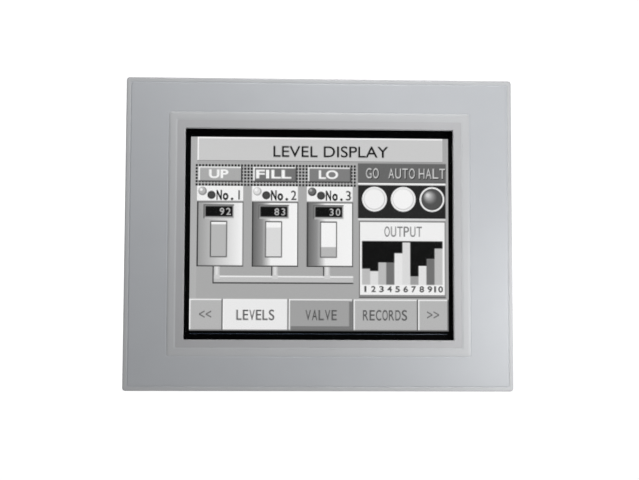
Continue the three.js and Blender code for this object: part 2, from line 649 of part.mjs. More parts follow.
function makeConnectors() {
  const { left, right, pitch, screwZ, plugBottom } = POWER;
  const front = SOCKET_FRONT;
  const back = SOCKET_BACK;
  const faceZ = CASE.shelf - 1;
  const socket = cut(
    box([left, front, faceZ], [right, back, -29]),
    box([left + 2, front + 2, faceZ - 1], [right - 2, back - 2, -31]),
  );
  add("power_socket", socket, greenPlastic);

  const middleX = (left + right) / 2;
  const tongue = box([left + 2.4, front + 2.4, faceZ - 1], [right - 2.4, back - 2.4, -31.4]);
  const plugBody = box([left + 0.5, front + 0.5, plugBottom], [right - 0.5, back - 0.5, faceZ - GAP]);
  const wells = [];
  for (let index = -1; index <= 1; index++) {
    const x = middleX + index * pitch;
    wells.push(rod("y", [x, screwZ], 2.1, 37.2, back + 1, 16));
    wells.push(rod("y", [x, screwZ], 1.5, 33.2, 38, 12));
    wells.push(box([x - 1.6, 31.5, plugBottom - 1], [x + 1.6, 35.1, -45]));
    const head = rod("y", [x, screwZ], 1.7, 37.5, 39.3, 16);
    const shank = rod("y", [x, screwZ], 1.2, 33.5, 38, 12);
    const slot = box([x - 2, 38.5, screwZ - 0.3], [x + 2, 40, screwZ + 0.3]);
    add(`terminal_screw_${index + 2}`, cut(join(head, shank), slot), brightSteel);
  }
  add("power_plug", cut(join(tongue, plugBody), ...wells), greenPlastic);

  const insideShelf = CASE.shelf + CASE.wall + GAP;
  const jackOffset = SERIAL.jackPitch / 2;
  const flangeBack = insideShelf + 1;
  const { x: serialX, halfFlange, halfHousing } = SERIAL;
  const flange = box(
    [serialX - halfFlange, PORT_Y - 6.25, insideShelf],
    [serialX + halfFlange, PORT_Y + 6.25, flangeBack],
  );
  const housing = box(
    [serialX - halfHousing, PORT_Y - 6, flangeBack - 0.2],
    [serialX + halfHousing, PORT_Y + 5.4, CONNECTOR_TOP],
  );
  const slant = 1.4;
  const halfShell = SERIAL.shellWidth / 2;
  const shellOutline = new THREE.Shape([
    new THREE.Vector2(SERIAL.x - halfShell, PORT_Y + SERIAL.shellHeight / 2),
    new THREE.Vector2(SERIAL.x - halfShell + slant, PORT_Y - SERIAL.shellHeight / 2),
    new THREE.Vector2(SERIAL.x + halfShell - slant, PORT_Y - SERIAL.shellHeight / 2),
    new THREE.Vector2(SERIAL.x + halfShell, PORT_Y + SERIAL.shellHeight / 2),
  ]);
  const shellDepth = 6;
  const shell = new THREE.ExtrudeGeometry(shellOutline, { depth: shellDepth, bevelEnabled: false });
  shell.translate(0, 0, insideShelf + 0.2 - shellDepth);
  const jackHoles = SIDES.map((side) =>
    rod("z", [SERIAL.x + side * jackOffset, PORT_Y], 1.8, insideShelf - 1, flangeBack + 1, 12),
  );
  add("serial_port", cut(join(flange, housing, shell), ...jackHoles), brightSteel);
  SIDES.forEach((side, index) => {
    const at = [SERIAL.x + side * jackOffset, PORT_Y];
    const nut = rod("z", at, 2.8, CASE.shelf - 5.3, CASE.shelf - GAP, 6);
    const stud = rod("z", at, 1.4, CASE.shelf - 1, -33.5, 12);
    const thread = rod("z", at, 1.3, CASE.shelf - 6, CASE.shelf - 2.5, 12);
    add(`jack_post_${index + 1}`, cut(join(nut, stud), thread), brightSteel);
  });

  const portAt = [TOOL_PORT_X, PORT_Y];
  const portBody = box([TOOL_PORT_X - 7, PORT_Y - 6.6, insideShelf], [TOOL_PORT_X + 7, PORT_Y + 6.6, -27]);
  const collar = rod("z", portAt, 6, CASE.shelf - 0.6, insideShelf + 0.2, 28);
  const groove = cut(
    rod("z", portAt, 4.7, CASE.shelf - 2, CASE.shelf + 5, 28),
    rod("z", portAt, 3.7, CASE.shelf - 3, CASE.shelf + 6, 28),
  );
  add("tool_port", cut(join(portBody, collar), groove), blackPlastic);

  const halfBody = ETHERNET.width / 2;
  const halfSocket = ETHERNET.socketWidth / 2;
  const mouthZ = CASE.shelf - 0.6;
  const ethernet = cut(
    box([ETHERNET.x - halfBody, front, mouthZ], [ETHERNET.x + halfBody, back, CONNECTOR_TOP]),
    box([ETHERNET.x - halfSocket, 31, mouthZ - 1], [ETHERNET.x + halfSocket, 39.2, -28]),
    box([ETHERNET.x - 3, 38, mouthZ - 1], [ETHERNET.x + 3, 40.6, -32]),
  );
  add("ethernet_port", ethernet, brightSteel);
}

// ---- Card bay behind the side door ----

function makeCardBay() {
  const { left, right, mouth, thickness, z } = CARD;
  const slotFront = BOARD_PARTS + 1.3;
  const slot = cut(
    box([left, BOARD_PARTS, z - 24], [right, BOARD_PARTS + 6.6, z + 24]),
    box([left + 4, slotFront, z - mouth / 2], [right + 1, slotFront + thickness, z + mouth / 2]),
  );
  add("card_slot", slot, blackPlastic);
  const buttonZ = z + 26.7;
  const button = box([60, 29.8, buttonZ - 1.9], [73.5, 33.2, buttonZ + 1.9]);
  add("card_eject_button", button, whitePlastic);

  const { hingeX, hingeY } = DOOR;
  const clear = 0.4;
  const slab = box([75.9, hingeY, DOOR.bottom + clear], [77.6, DOOR.back - clear, DOOR.top - clear]);
  const barrel = rod("z", [hingeX, hingeY], 1.4, DOOR.bottom + clear, DOOR.top - clear, 16);
  const pinRadius = 0.6;
  const bore = rod("z", [hingeX, hingeY], pinRadius + GAP, DOOR.bottom, DOOR.top, 12);
  const fingerNotch = rod("z", [79.6, 41.8], 2.6, 2, 12, 20);
  add("card_door", cut(join(slab, barrel), bore, fingerNotch), casePlastic);
  const pin = rod("z", [hingeX, hingeY], pinRadius, DOOR.bottom - 1.7, DOOR.top + 1.7, 12);
  add("door_hinge_pin", pin, brightSteel);

  const leverLength = 1.4;
  const travel = 2.2;
  const leverFront = 30.5;
  const halfDip = (DIP.count * DIP.pitch + 2.8) / 2;
  const pockets = [];
  for (let index = 0; index < DIP.count; index++) {
    const leverZ = DIP.z + (index - (DIP.count - 1) / 2) * DIP.pitch;
    const pocketFront = leverFront - GAP;
    const pocketBack = leverFront + leverLength + travel + GAP;
    pockets.push(box([DIP.right - 1.4, pocketFront, leverZ - 0.9], [DIP.right + 1, pocketBack, leverZ + 0.9]));
    const lever = box(
      [DIP.right - 1.1, leverFront, leverZ - 0.6],
      [DIP.right + 1.2, leverFront + leverLength, leverZ + 0.6],
    );
    add(`dip_lever_${index + 1}`, lever, whitePlastic);
  }
  const dipBody = box([DIP.right - 7, BOARD_PARTS, DIP.z - halfDip], [DIP.right, 37, DIP.z + halfDip]);
  add("dip_switch", cut(dipBody, ...pockets), blackPlastic);
}

// ---- Screw clamps ----

// A clamp hooks into a slot in the case and its screw pushes a pad against the door. Each is made
// above the case, and the lower two are then turned over.
function makeClamps() {
  const wallTop = CASE.height / 2;
  const wallUnder = wallTop - CASE.wall;
  const half = CLAMP.width / 2;
  const screwRadius = 2;
  let number = 1;
  for (const end of [1, -1]) {
    for (const side of SIDES) {
      const x = side * (end > 0 ? CLAMP.upperX : CLAMP.lowerX);
      const screwAt = [x, CLAMP.screwZ];
      const lug = box([x - half, CLAMP.neckFront, wallTop + GAP], [x + half, CLAMP.lugBack, 68.7]);
      const neck = box([x - half + 0.8, CLAMP.neckFront, 57], [x + half - 0.8, CLAMP.neckBack, wallTop + 1]);
      const tongue = box([x - half, CLAMP.neckFront, 55.8], [x + half, CLAMP.tongueBack, wallUnder - GAP]);
      const bore = rod("y", screwAt, screwRadius + GAP, CLAMP.neckFront - 1, CLAMP.lugBack + 1);
      const bracket = cut(join(lug, neck, tongue), bore);
      const pad = rod("y", screwAt, 3, CLAMP.padFront, CLAMP.neckFront - 2 * GAP - 0.1);
      const shank = rod("y", screwAt, screwRadius, CLAMP.neckFront - GAP, CLAMP.headFront + 0.5);
      const head = rod("y", screwAt, 3.4, CLAMP.headFront, CLAMP.headFront + 2.5);
      const slots = [
        box([x - 2.4, CLAMP.headFront + 1.3, screwAt[1] - 0.4], [x + 2.4, 38, screwAt[1] + 0.4]),
        box([x - 0.4, CLAMP.headFront + 1.3, screwAt[1] - 2.4], [x + 0.4, 38, screwAt[1] + 2.4]),
      ];
      const place = (geometry) => (end > 0 ? geometry : geometry.rotateY(Math.PI));
      add(`clamp_bracket_${number}`, place(bracket), brightSteel);
      add(`clamp_screw_${number}`, place(cut(join(head, shank), ...slots)), brightSteel);
      add(`clamp_pad_${number}`, place(pad), blackPlastic);
      number += 1;
    }
  }
}

makeFront();
makeDisplay();
makeElectronics();
makeLeads();
makeRearCase();
makeConnectors();
makeCardBay();
makeClamps();

export default panel;
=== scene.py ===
"""Operator touch panel for a control cabinet door: its looks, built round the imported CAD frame.

The frame is in metres: X runs right as the operator sees it, Y runs back through the door, Z runs up,
and the origin is the centre of the door's cut-out. Shapes here are drawn in millimetres in that frame
and scaled as they are made.
"""
import math

import bmesh
import bpy
import numpy as np
from mathutils import Matrix, Vector


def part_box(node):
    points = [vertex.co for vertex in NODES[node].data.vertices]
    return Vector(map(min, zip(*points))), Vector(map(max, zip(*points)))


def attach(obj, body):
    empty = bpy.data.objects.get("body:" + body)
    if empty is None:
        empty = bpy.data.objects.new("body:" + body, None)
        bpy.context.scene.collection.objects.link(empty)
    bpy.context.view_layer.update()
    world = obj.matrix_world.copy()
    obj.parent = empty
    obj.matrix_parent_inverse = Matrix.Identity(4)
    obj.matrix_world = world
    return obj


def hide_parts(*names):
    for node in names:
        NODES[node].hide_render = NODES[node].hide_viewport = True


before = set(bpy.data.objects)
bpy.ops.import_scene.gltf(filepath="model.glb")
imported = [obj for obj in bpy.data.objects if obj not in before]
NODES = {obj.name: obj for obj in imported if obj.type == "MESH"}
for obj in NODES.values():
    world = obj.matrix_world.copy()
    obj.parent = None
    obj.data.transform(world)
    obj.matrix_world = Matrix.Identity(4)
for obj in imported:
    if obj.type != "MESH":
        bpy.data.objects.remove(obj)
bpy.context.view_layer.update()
MM = 0.001
SIDES = (-1, 1)
QUARTER = math.pi / 2


def add_object(name, data):
    made = bpy.data.objects.new(name, data)
    bpy.context.scene.collection.objects.link(made)
    return made


def limits(node):
    """A CAD node's lowest and highest corners, in millimetres."""
    low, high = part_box(node)
    return low / MM, high / MM


# ---- Materials ----


class Looks:
    """A Principled material and the short calls that build its nodes."""

    def __init__(self, name, colour, roughness, metallic=0.0):
        self.material = bpy.data.materials.new(name)
        self.material.use_nodes = True
        self.tree = self.material.node_tree
        self.shader = self.tree.nodes["Principled BSDF"]
        self.colour = (*colour, 1.0)
        self.set("Base Color", self.colour)
        self.set("Roughness", roughness)
        self.set("Metallic", metallic)
        self.place = self.tree.nodes.new("ShaderNodeTexCoord").outputs["Object"]

    def set(self, socket, value):
        self.shader.inputs[socket].default_value = value

    def link(self, source, target):
        self.tree.links.new(source, target)

    def node(self, kind, **settings):
        made = self.tree.nodes.new(kind)
        for key, value in settings.items():
            setattr(made, key, value)
        return made

    def noise(self, size, detail=2.0, stretch=None):
        """Noise whose features are size millimetres across, longer along an axis where stretch says so."""
        made = self.node("ShaderNodeTexNoise")
        made.inputs["Scale"].default_value = 1 / (size * MM)
        made.inputs["Detail"].default_value = detail
        if stretch:
            mapping = self.node("ShaderNodeMapping")
            mapping.inputs["Scale"].default_value = stretch
            self.link(self.place, mapping.inputs["Vector"])
            self.link(mapping.outputs["Vector"], made.inputs["Vector"])
        else:
            self.link(self.place, made.inputs["Vector"])
        return made.outputs["Fac"]

    def spread(self, source, low, high, start=0.3, stop=0.7):
        """The source's values from start to stop, turned into low to high."""
        made = self.node("ShaderNodeMapRange")
        for socket, value in (("From Min", start), ("From Max", stop), ("To Min", low), ("To Max", high)):
            made.inputs[socket].default_value = value
        self.link(source, made.inputs["Value"])
        return made.outputs["Result"]

    def mottle(self, source, darker, lighter, start=0.3, stop=0.7):
        """Colour that drifts between a darker and a lighter shade of the material's own."""
        ramp = self.node("ShaderNodeValToRGB")
        first, last = ramp.color_ramp.elements
        first.position, last.position = start, stop
        first.color = (*[channel * darker for channel in self.colour[:3]], 1)
        last.color = (*[min(channel * lighter, 1) for channel in self.colour[:3]], 1)
        self.link(source, ramp.inputs["Fac"])
        self.link(ramp.outputs["Color"], self.shader.inputs["Base Color"])

    def relief(self, source, depth, strength=1.0):
        """Surface relief depth millimetres deep."""
        bump = self.node("ShaderNodeBump")
        bump.inputs["Strength"].default_value = strength
        bump.inputs["Distance"].default_value = depth * MM
        self.link(source, bump.inputs["Height"])
        self.link(bump.outputs["Normal"], self.shader.inputs["Normal"])


def moulded_plastic(name, colour, roughness=0.5, grain=0.35, depth=0.012, drift=0.03):
    """Moulded plastic: a fine spark-eroded grain, and a tone that drifts a little."""
    looks = Looks(name, colour, roughness)
    looks.mottle(looks.noise(14, 3), 1 - drift, 1 + drift)
    grain_height = looks.noise(grain, 2)
    looks.relief(grain_height, depth)
    gloss = looks.spread(grain_height, roughness - 0.05, roughness + 0.07)
    looks.link(gloss, looks.shader.inputs["Roughness"])
    return looks.material


def brushed_metal(name, colour, roughness=0.3, stretch=(1, 1, 14), size=1.2):
    """Plated or rolled metal with fine lines across it and slightly uneven gloss."""
    looks = Looks(name, colour, roughness, 1.0)
    lines = looks.noise(size, 4, stretch)
    looks.mottle(looks.noise(6, 3), 0.93, 1.05)
    looks.link(looks.spread(lines, roughness - 0.03, roughness + 0.04), looks.shader.inputs["Roughness"])
    looks.relief(lines, 0.001, 0.3)
    return looks.material


def clear_sheet(name, colour, alpha, roughness, haze):
    """A clear sheet: nearly all of what lies behind shows, under a faint uneven gloss."""
    looks = Looks(name, colour, roughness)
    looks.set("Alpha", alpha)
    looks.link(looks.spread(looks.noise(9, 4), roughness, roughness + haze), looks.shader.inputs["Roughness"])
    looks.relief(looks.noise(0.12, 1), 0.001, 0.4)
    looks.set("Specular IOR Level", 0.2)
    looks.material.surface_render_method = "BLENDED"
    return looks.material


def foam_rubber(name):
    """Closed-cell sealing foam, open pores on its skin."""
    looks = Looks(name, (0.022, 0.022, 0.024), 0.92)
    pores = looks.node("ShaderNodeTexVoronoi")
    pores.inputs["Scale"].default_value = 1 / (0.45 * MM)
    looks.link(looks.place, pores.inputs["Vector"])
    looks.mottle(pores.outputs["Distance"], 0.45, 1.7, 0.1, 0.6)
    looks.relief(pores.outputs["Distance"], 0.08)
    return looks.material


def printed_board(name):
    """Green solder resist over copper tracks, which show as paler, slightly raised lines."""
    looks = Looks(name, (0.012, 0.11, 0.055), 0.32)
    tracks = looks.node("ShaderNodeTexBrick", offset=0.37, offset_frequency=3, squash=0.6, squash_frequency=4)
    tracks.inputs["Scale"].default_value = 1 / (14 * MM)
    tracks.inputs["Mortar Size"].default_value = 0.022
    tracks.inputs["Color1"].default_value = (0.010, 0.095, 0.048, 1)
    tracks.inputs["Color2"].default_value = (0.014, 0.12, 0.062, 1)
    tracks.inputs["Mortar"].default_value = (0.05, 0.26, 0.13, 1)
    turn = looks.node("ShaderNodeMapping")
    turn.inputs["Rotation"].default_value = (QUARTER, 0, 0)
    looks.link(looks.place, turn.inputs["Vector"])
    looks.link(turn.outputs["Vector"], tracks.inputs["Vector"])
    looks.link(tracks.outputs["Color"], looks.shader.inputs["Base Color"])
    looks.relief(tracks.outputs["Fac"], 0.03)
    return looks.material


def lit_picture(name, attribute):
    """The display's picture, lit from behind: each dot gives its own light."""
    looks = Looks(name, (0.004, 0.004, 0.004), 0.6)
    dots = looks.node("ShaderNodeVertexColor", layer_name=attribute)
    looks.link(dots.outputs["Color"], looks.shader.inputs["Emission Color"])
    looks.set("Emission Strength", 0.97)
    looks.set("Specular IOR Level", 0.0)
    return looks.material


def black_print(name):
    """Dense black ink on the back of the glass."""
    looks = Looks(name, (0.0004, 0.0004, 0.0004), 0.7)
    looks.mottle(looks.noise(5, 2), 0.8, 1.2)
    looks.set("Specular IOR Level", 0.02)
    return looks.material


def glowing_tube(name):
    looks = Looks(name, (0.85, 0.87, 0.84), 0.35)
    looks.mottle(looks.noise(4, 2), 0.95, 1.05)
    looks.relief(looks.noise(0.6, 2), 0.01)
    return looks.material


BEZEL_PLASTIC = moulded_plastic("bezel_plastic", (0.280, 0.289, 0.303), 0.5, 0.3, 0.008, 0.015)
# The ring and the rim's bands get a lighter grey than the face, and the land round the window a darker grey.
RING_PLASTIC = moulded_plastic("ring_plastic", (0.292, 0.297, 0.304), 0.54, 0.3, 0.006, 0.015)
LAND_PLASTIC = moulded_plastic("window_land_plastic", (0.260, 0.261, 0.268), 0.56, 0.3, 0.008, 0.015)
CASE_PLASTIC = moulded_plastic("case_plastic", (0.20, 0.205, 0.215), 0.56, 0.4, 0.02, 0.03)
BLACK_PLASTIC = moulded_plastic("black_plastic", (0.018, 0.018, 0.019), 0.42, 0.3, 0.012, 0.1)
WHITE_PLASTIC = moulded_plastic("white_plastic", (0.74, 0.74, 0.70), 0.45, 0.4, 0.01, 0.02)
GREEN_PLASTIC = moulded_plastic("green_plastic", (0.045, 0.25, 0.085), 0.45, 0.4, 0.012, 0.05)
FERRITE = moulded_plastic("ferrite", (0.045, 0.045, 0.048), 0.75, 0.5, 0.05, 0.15)
AMBER_FILM = moulded_plastic("amber_film", (0.48, 0.24, 0.05), 0.3, 0.8, 0.01, 0.05)
WHITE_FILM = moulded_plastic("white_film", (0.72, 0.73, 0.74), 0.35, 0.8, 0.01, 0.03)
INSULATION = moulded_plastic("lead_insulation", (0.30, 0.30, 0.31), 0.55, 0.5, 0.015, 0.06)
SHEET_STEEL = brushed_metal("sheet_steel", (0.56, 0.57, 0.59), 0.38, (6, 1, 6), 0.9)
BRIGHT_STEEL = brushed_metal("bright_steel", (0.70, 0.70, 0.70), 0.26, (1, 8, 1), 0.8)
GOLD = brushed_metal("gold_contact", (0.80, 0.56, 0.22), 0.22, (1, 6, 1), 0.6)
FOAM = foam_rubber("gasket_foam")
BOARD = printed_board("circuit_board")
PRINT = black_print("black_print")
FILM = clear_sheet("touch_film", (0.006, 0.006, 0.007), 0.02, 0.22, 0.12)
GLASS = clear_sheet("clear_glass", (0.006, 0.009, 0.008), 0.02, 0.03, 0.03)
LIGHT_GUIDE = clear_sheet("light_guide", (0.75, 0.78, 0.8), 0.6, 0.15, 0.1)
TUBE = glowing_tube("lamp_glass")
PICTURE_DOTS = "dots"
PICTURE_LIGHT = lit_picture("lcd_picture", PICTURE_DOTS)


# ---- Mesh building, in millimetres ----


def finish_piece(name, mesh, body, material, replaces=(), smooth=34, more_materials=()):
    """Turns a mesh drawn in millimetres into a piece on a body, shaded smooth up to an angle in degrees."""
    bmesh.ops.recalc_face_normals(mesh, faces=mesh.faces)
    data = bpy.data.meshes.new(name)
    mesh.to_mesh(data)
    mesh.free()
    data.transform(Matrix.Scale(MM, 4))
    data.shade_smooth()
    data.set_sharp_from_angle(angle=math.radians(smooth))
    for look in (material, *more_materials):
        data.materials.append(look)
    piece = add_object(name, data)
    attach(piece, body)
    if replaces:
        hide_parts(*replaces)
    return piece


def rounded_outline(half_width, half_height, corner, y, steps=6):
    """A rounded rectangle that faces along Y."""
    points = []
    for quarter, (sign_x, sign_z) in enumerate(((1, 1), (-1, 1), (-1, -1), (1, -1))):
        for step in range(steps + 1):
            angle = (quarter + step / steps) * QUARTER
            x = sign_x * (half_width - corner) + corner * math.cos(angle)
            z = sign_z * (half_height - corner) + corner * math.sin(angle)
            points.append(Vector((x, y, z)))
    return points


def loft(mesh, rings, closed=False, look=None):
    """Faces between rings of points, each ring closed. Where closed is false the end rings are capped."""
    made = [[mesh.verts.new(point) for point in ring] for ring in rings]
    around = len(rings[0])
    for index in range(len(made) if closed else len(made) - 1):
        here, there = made[index], made[(index + 1) % len(made)]
        for point in range(around):
            beside = (point + 1) % around
            face = mesh.faces.new((here[point], here[beside], there[beside], there[point]))
            face.material_index = look(index) if look else 0
    if not closed:
        mesh.faces.new(made[0])
        mesh.faces.new(list(reversed(made[-1])))


def block(mesh, low, high, edge=0.0):
    """A box between two corners, its edges rounded off."""
    low, high = Vector(low), Vector(high)
    size = high - low
    made = bmesh.ops.create_cube(mesh, size=1)["verts"]
    for vert in made:
        vert.co = low + Vector([(vert.co[axis] + 0.5) * size[axis] for axis in range(3)])
    if edge:
        edges = list({line for vert in made for line in vert.link_edges})
        bmesh.ops.bevel(mesh, geom=edges, offset=edge, segments=2, affect="EDGES", profile=0.6)


def along(axis, centre):
    """A placement whose local Z runs along an axis of the frame, through a centre."""
    turns = {"y": Matrix.Rotation(-QUARTER, 4, "X"), "z": Matrix.Identity(4)}
    return Matrix.Translation(Vector(centre)) @ turns[axis]


def circle(radius, height, place, facets):
    angles = [2 * math.pi * facet / facets for facet in range(facets)]
    return [place @ Vector((radius * math.cos(angle), radius * math.sin(angle), height)) for angle in angles]


def turned(mesh, profile, place, facets=28):
    """A turned shape from pairs of radius and height, closed by a flat face at both ends."""
    loft(mesh, [circle(radius, height, place, facets) for radius, height in profile])


def thread_rings(radius, depth, pitch, start, stop, place, facets, steps):
    """Rings of a right-handed screw thread along local Z, running out smoothly at both ends."""
    count = max(2, round((stop - start) / pitch * steps))
    rings = []
    for row in range(count + 1):
        height = start + (stop - start) * row / count
        fade = min(1, (height - start) / pitch, (stop - height) / pitch)
        ring = []
        for facet in range(facets):
            angle = 2 * math.pi * facet / facets
            phase = (height / pitch - facet / facets) % 1
            reach = radius - depth * (1 - abs(2 * phase - 1)) * fade - 0.3 * depth * (1 - fade)
            ring.append(place @ Vector((reach * math.cos(angle), reach * math.sin(angle), height)))
        rings.append(ring)
    return rings


def carve(mesh, tool):
    """Cuts one mesh from another and returns what is left, as a new mesh."""
    objects = []
    for part in (mesh, tool):
        bmesh.ops.recalc_face_normals(part, faces=part.faces)
        data = bpy.data.meshes.new("carving")
        part.to_mesh(data)
        part.free()
        objects.append(add_object("carving", data))
    body, cutter = objects
    cut = body.modifiers.new("cut", "BOOLEAN")
    cut.object, cut.operation, cut.solver, cut.use_self = cutter, "DIFFERENCE", "EXACT", True
    depsgraph = bpy.context.evaluated_depsgraph_get()
    result = bmesh.new()
    result.from_object(body, depsgraph)
    for made in objects:
        data = made.data
        bpy.data.objects.remove(made)
        bpy.data.meshes.remove(data)
    return result


def round_edges(piece, width):
    """Rounds a piece's edges, width millimetres wide, where they turn by more than 40 degrees."""
    bevel = piece.modifiers.new("edges", "BEVEL")
    bevel.width, bevel.segments = width * MM, 2
    bevel.limit_method, bevel.angle_limit = "ANGLE", math.radians(40)
    bevel.loop_slide = False
    piece.modifiers.new("normals", "WEIGHTED_NORMAL").keep_sharp = False


# ---- The screen's picture ----

DOTS_ACROSS, DOTS_DOWN = 320, 240  # assumed: the dots are too small to count in the photograph
FINE = 4  # the picture is drawn this many times finer than its dots, then averaged


class Picture:
    """A grey picture. Places are in dots from its top left corner, and greys run from 0 to 255."""

    def __init__(self, grey):
        self.greys = np.full((DOTS_DOWN * FINE, DOTS_ACROSS * FINE), float(grey))
        self.measure_from(0, 0)

    def measure_from(self, right, down):
        """Moves the point that the places of what is drawn next are measured from."""
        self.columns = (np.arange(DOTS_ACROSS * FINE) + 0.5) / FINE - right
        self.rows = (np.arange(DOTS_DOWN * FINE) + 0.5) / FINE - down

    def area(self, left, top, right, bottom):
        rows = (self.rows >= top) & (self.rows < bottom)
        columns = (self.columns >= left) & (self.columns < right)
        return np.ix_(rows, columns)

    def fill(self, left, top, right, bottom, grey):
        self.greys[self.area(left, top, right, bottom)] = grey

    def fade(self, left, top, right, bottom, stops):
        """Greys that change across the area, at fractions of its width."""
        columns = self.columns[(self.columns >= left) & (self.columns < right)]
        spread = np.interp((columns - left) / (right - left), *zip(*stops))
        self.greys[self.area(left, top, right, bottom)] = spread

    def raised(self, left, top, right, bottom, face, light, dark, line=1.6):
        """A key that stands up: light above and to the left, dark below and to the right."""
        self.fill(left, top, right, bottom, dark)
        self.fill(left, top, right - line, bottom - line, light)
        self.fill(left + line, top + line, right - line, bottom - line, face)

    def disc(self, x, y, radius, grey):
        inside = (self.columns[None, :] - x) ** 2 + (self.rows[:, None] - y) ** 2 < radius**2
        self.greys[inside] = grey

    def word(self, text, left, right, top, base, grey, weight=0.0):
        """One line of lettering, fitted between left and right and between its cap line and base line."""
        triangles = letter_triangles(text, weight)
        low, high = triangles[:, :, 0].min(), triangles[:, :, 0].max()
        triangles = triangles.copy()
        triangles[:, :, 0] = left + (triangles[:, :, 0] - low) * (right - left) / (high - low)
        triangles[:, :, 1] = base - triangles[:, :, 1] * (base - top)
        for corners in triangles:
            self.triangle(corners, grey)

    def cells(self, text, left, top, base, grey, weight=0.0, pitch=8):
        """Lettering with one character to a cell, each squeezed to fit its cell."""
        for index, letter in enumerate(text):
            if letter == " ":
                continue
            corners = letter_triangles(letter, weight)
            natural = (corners[:, :, 0].max() - corners[:, :, 0].min()) * (base - top)
            width = min(natural, pitch - 1.4)
            start = left + index * pitch + (pitch - width) / 2
            self.word(letter, start, start + width, top, base, grey, weight)

    def triangle(self, corners, grey):
        (x0, y0), (x1, y1), (x2, y2) = corners
        spin = (x1 - x0) * (y2 - y0) - (x2 - x0) * (y1 - y0)
        if abs(spin) < 1e-9:
            return
        rows = np.flatnonzero((self.rows >= min(y0, y1, y2)) & (self.rows <= max(y0, y1, y2)))
        columns = np.flatnonzero((self.columns >= min(x0, x1, x2)) & (self.columns <= max(x0, x1, x2)))
        if not len(rows) or not len(columns):
            return
        x, y = np.meshgrid(self.columns[columns], self.rows[rows])
        second = ((x - x0) * (y2 - y0) - (x2 - x0) * (y - y0)) / spin
        third = ((x1 - x0) * (y - y0) - (x - x0) * (y1 - y0)) / spin
        inside = (second >= 0) & (third >= 0) & (second + third <= 1)
        patch = self.greys[rows[0] : rows[-1] + 1, columns[0] : columns[-1] + 1]
        patch[inside] = grey

    def light(self):
        """The light each dot gives, row by row from the top."""
        mean = self.greys.reshape(DOTS_DOWN, FINE, DOTS_ACROSS, FINE).mean(axis=(1, 3)) / 255
        return np.where(mean <= 0.04045, mean / 12.92, ((mean + 0.055) / 1.055) ** 2.4)


LETTERS = {}


def letter_triangles(text, weight):
    """Lettering in the built-in typeface as flat triangles, with capitals one unit high."""
    key = (text, weight)
    if key not in LETTERS:
        LETTERS[key] = measured_letters(text, weight)
    return LETTERS[key]


def measured_letters(text, weight):
    outlines = []
    for words in ("H", text):
        curve = bpy.data.curves.new("lettering", "FONT")
        curve.body = words
        curve.offset = weight if words is text else 0
        made = add_object("lettering", curve)
        depsgraph = bpy.context.evaluated_depsgraph_get()
        mesh = made.evaluated_get(depsgraph).to_mesh()
        mesh.calc_loop_triangles()
        corners = [[mesh.vertices[index].co[:2] for index in face.vertices] for face in mesh.loop_triangles]
        outlines.append(np.array(corners))
        bpy.data.objects.remove(made)
        bpy.data.curves.remove(curve)
    capital, written = outlines
    return written / capital[:, :, 1].max()


def draw_tanks(picture):
    """Three tanks side by side, each with its name, level figure and gauge."""
    tanks = (
        (0, "1", "92", 108.8, 192, 178, ((0, 165), (0.5, 215), (1, 255))),
        (67.7, "2", "83", 112.5, 228, 120, ((0, 110), (0.2, 150), (0.4, 250), (1, 255))),
        (135.6, "3", "30", 136.3, 192, 132, ((0, 110), (0.2, 150), (0.4, 250), (1, 255))),
    )
    tabs = (("UP", 23, 47), ("FILL", 81, 125), ("LO", 159, 183))
    balls = ((200, 70), (240, 70), (120, 70))
    for (shift, number, figure, level, filled, tab_grey, shine), tab, ball in zip(tanks, tabs, balls):
        picture.raised(10 + shift, 37, 64 + shift, 56, tab_grey, 250, 75)
        picture.word(tab[0], tab[1], tab[2], 41, 51, 255, 0.03)
        picture.fill(8.5 + shift, 61, 65.5 + shift, 79.6, 252)
        picture.disc(15.2 + shift, 67.6, 5.2, ball[0] - 55)
        picture.disc(14.6 + shift, 67, 4.2, ball[0] - 10)
        picture.disc(13.6 + shift, 65.8, 1.8, min(ball[0] + 60, 255))
        picture.disc(26.2 + shift, 72.4, 5, 62)
        picture.disc(26.2 + shift, 72.4, 3.4, 74)
        picture.cells("No.", 31.6 + shift, 66.6, 78, 20, 0.03)
        picture.cells(number, 56.2 + shift, 66.6, 78, 30, 0.0)
        picture.fill(8.6 + shift, 80.4, 66 + shift, 161, 60)
        picture.fill(10.2 + shift, 80.4, 66 + shift, 160, 105)
        picture.fade(10.4 + shift, 81.8, 64.8 + shift, 159.6, shine)
        picture.fill(16.4 + shift, 84, 54.4 + shift, 101.4, 110)
        picture.fill(18 + shift, 85.2, 54.4 + shift, 101.4, 215)
        picture.fill(18 + shift, 85.2, 53.4 + shift, 100.4, 150)
        picture.fill(19.2 + shift, 86.4, 52.2 + shift, 98.8, 10)
        picture.cells(figure, 35.4 + shift, 88.6, 97, 195, 0.02)
        picture.fill(25 + shift, 104.6, 46 + shift, 149.6, 95)
        picture.fill(26.3 + shift, 105.9, 44.7 + shift, 148.3, 255)
        picture.fill(26.3 + shift, level, 44.7 + shift, 148.3, filled)


def draw_pipes(picture):
    """Pipes that join the tanks below."""
    for left, right in ((30, 37.5), (102, 109), (166, 173.5)):
        picture.fill(left - 1.6, 160.7, left, 172.3, 70)
        picture.fade(left, 160.7, right, 174, ((0, 200), (0.5, 235), (1, 190)))
    picture.fill(28.4, 172.3, 202, 182, 80)
    picture.fill(30, 172.3, 202, 180.3, 200)
    picture.fill(37.5, 172.3, 202, 174, 250)
    for left, right in ((30, 37.5), (102, 109), (166, 173.5)):
        picture.fill(left, 171, right, 176, 215)


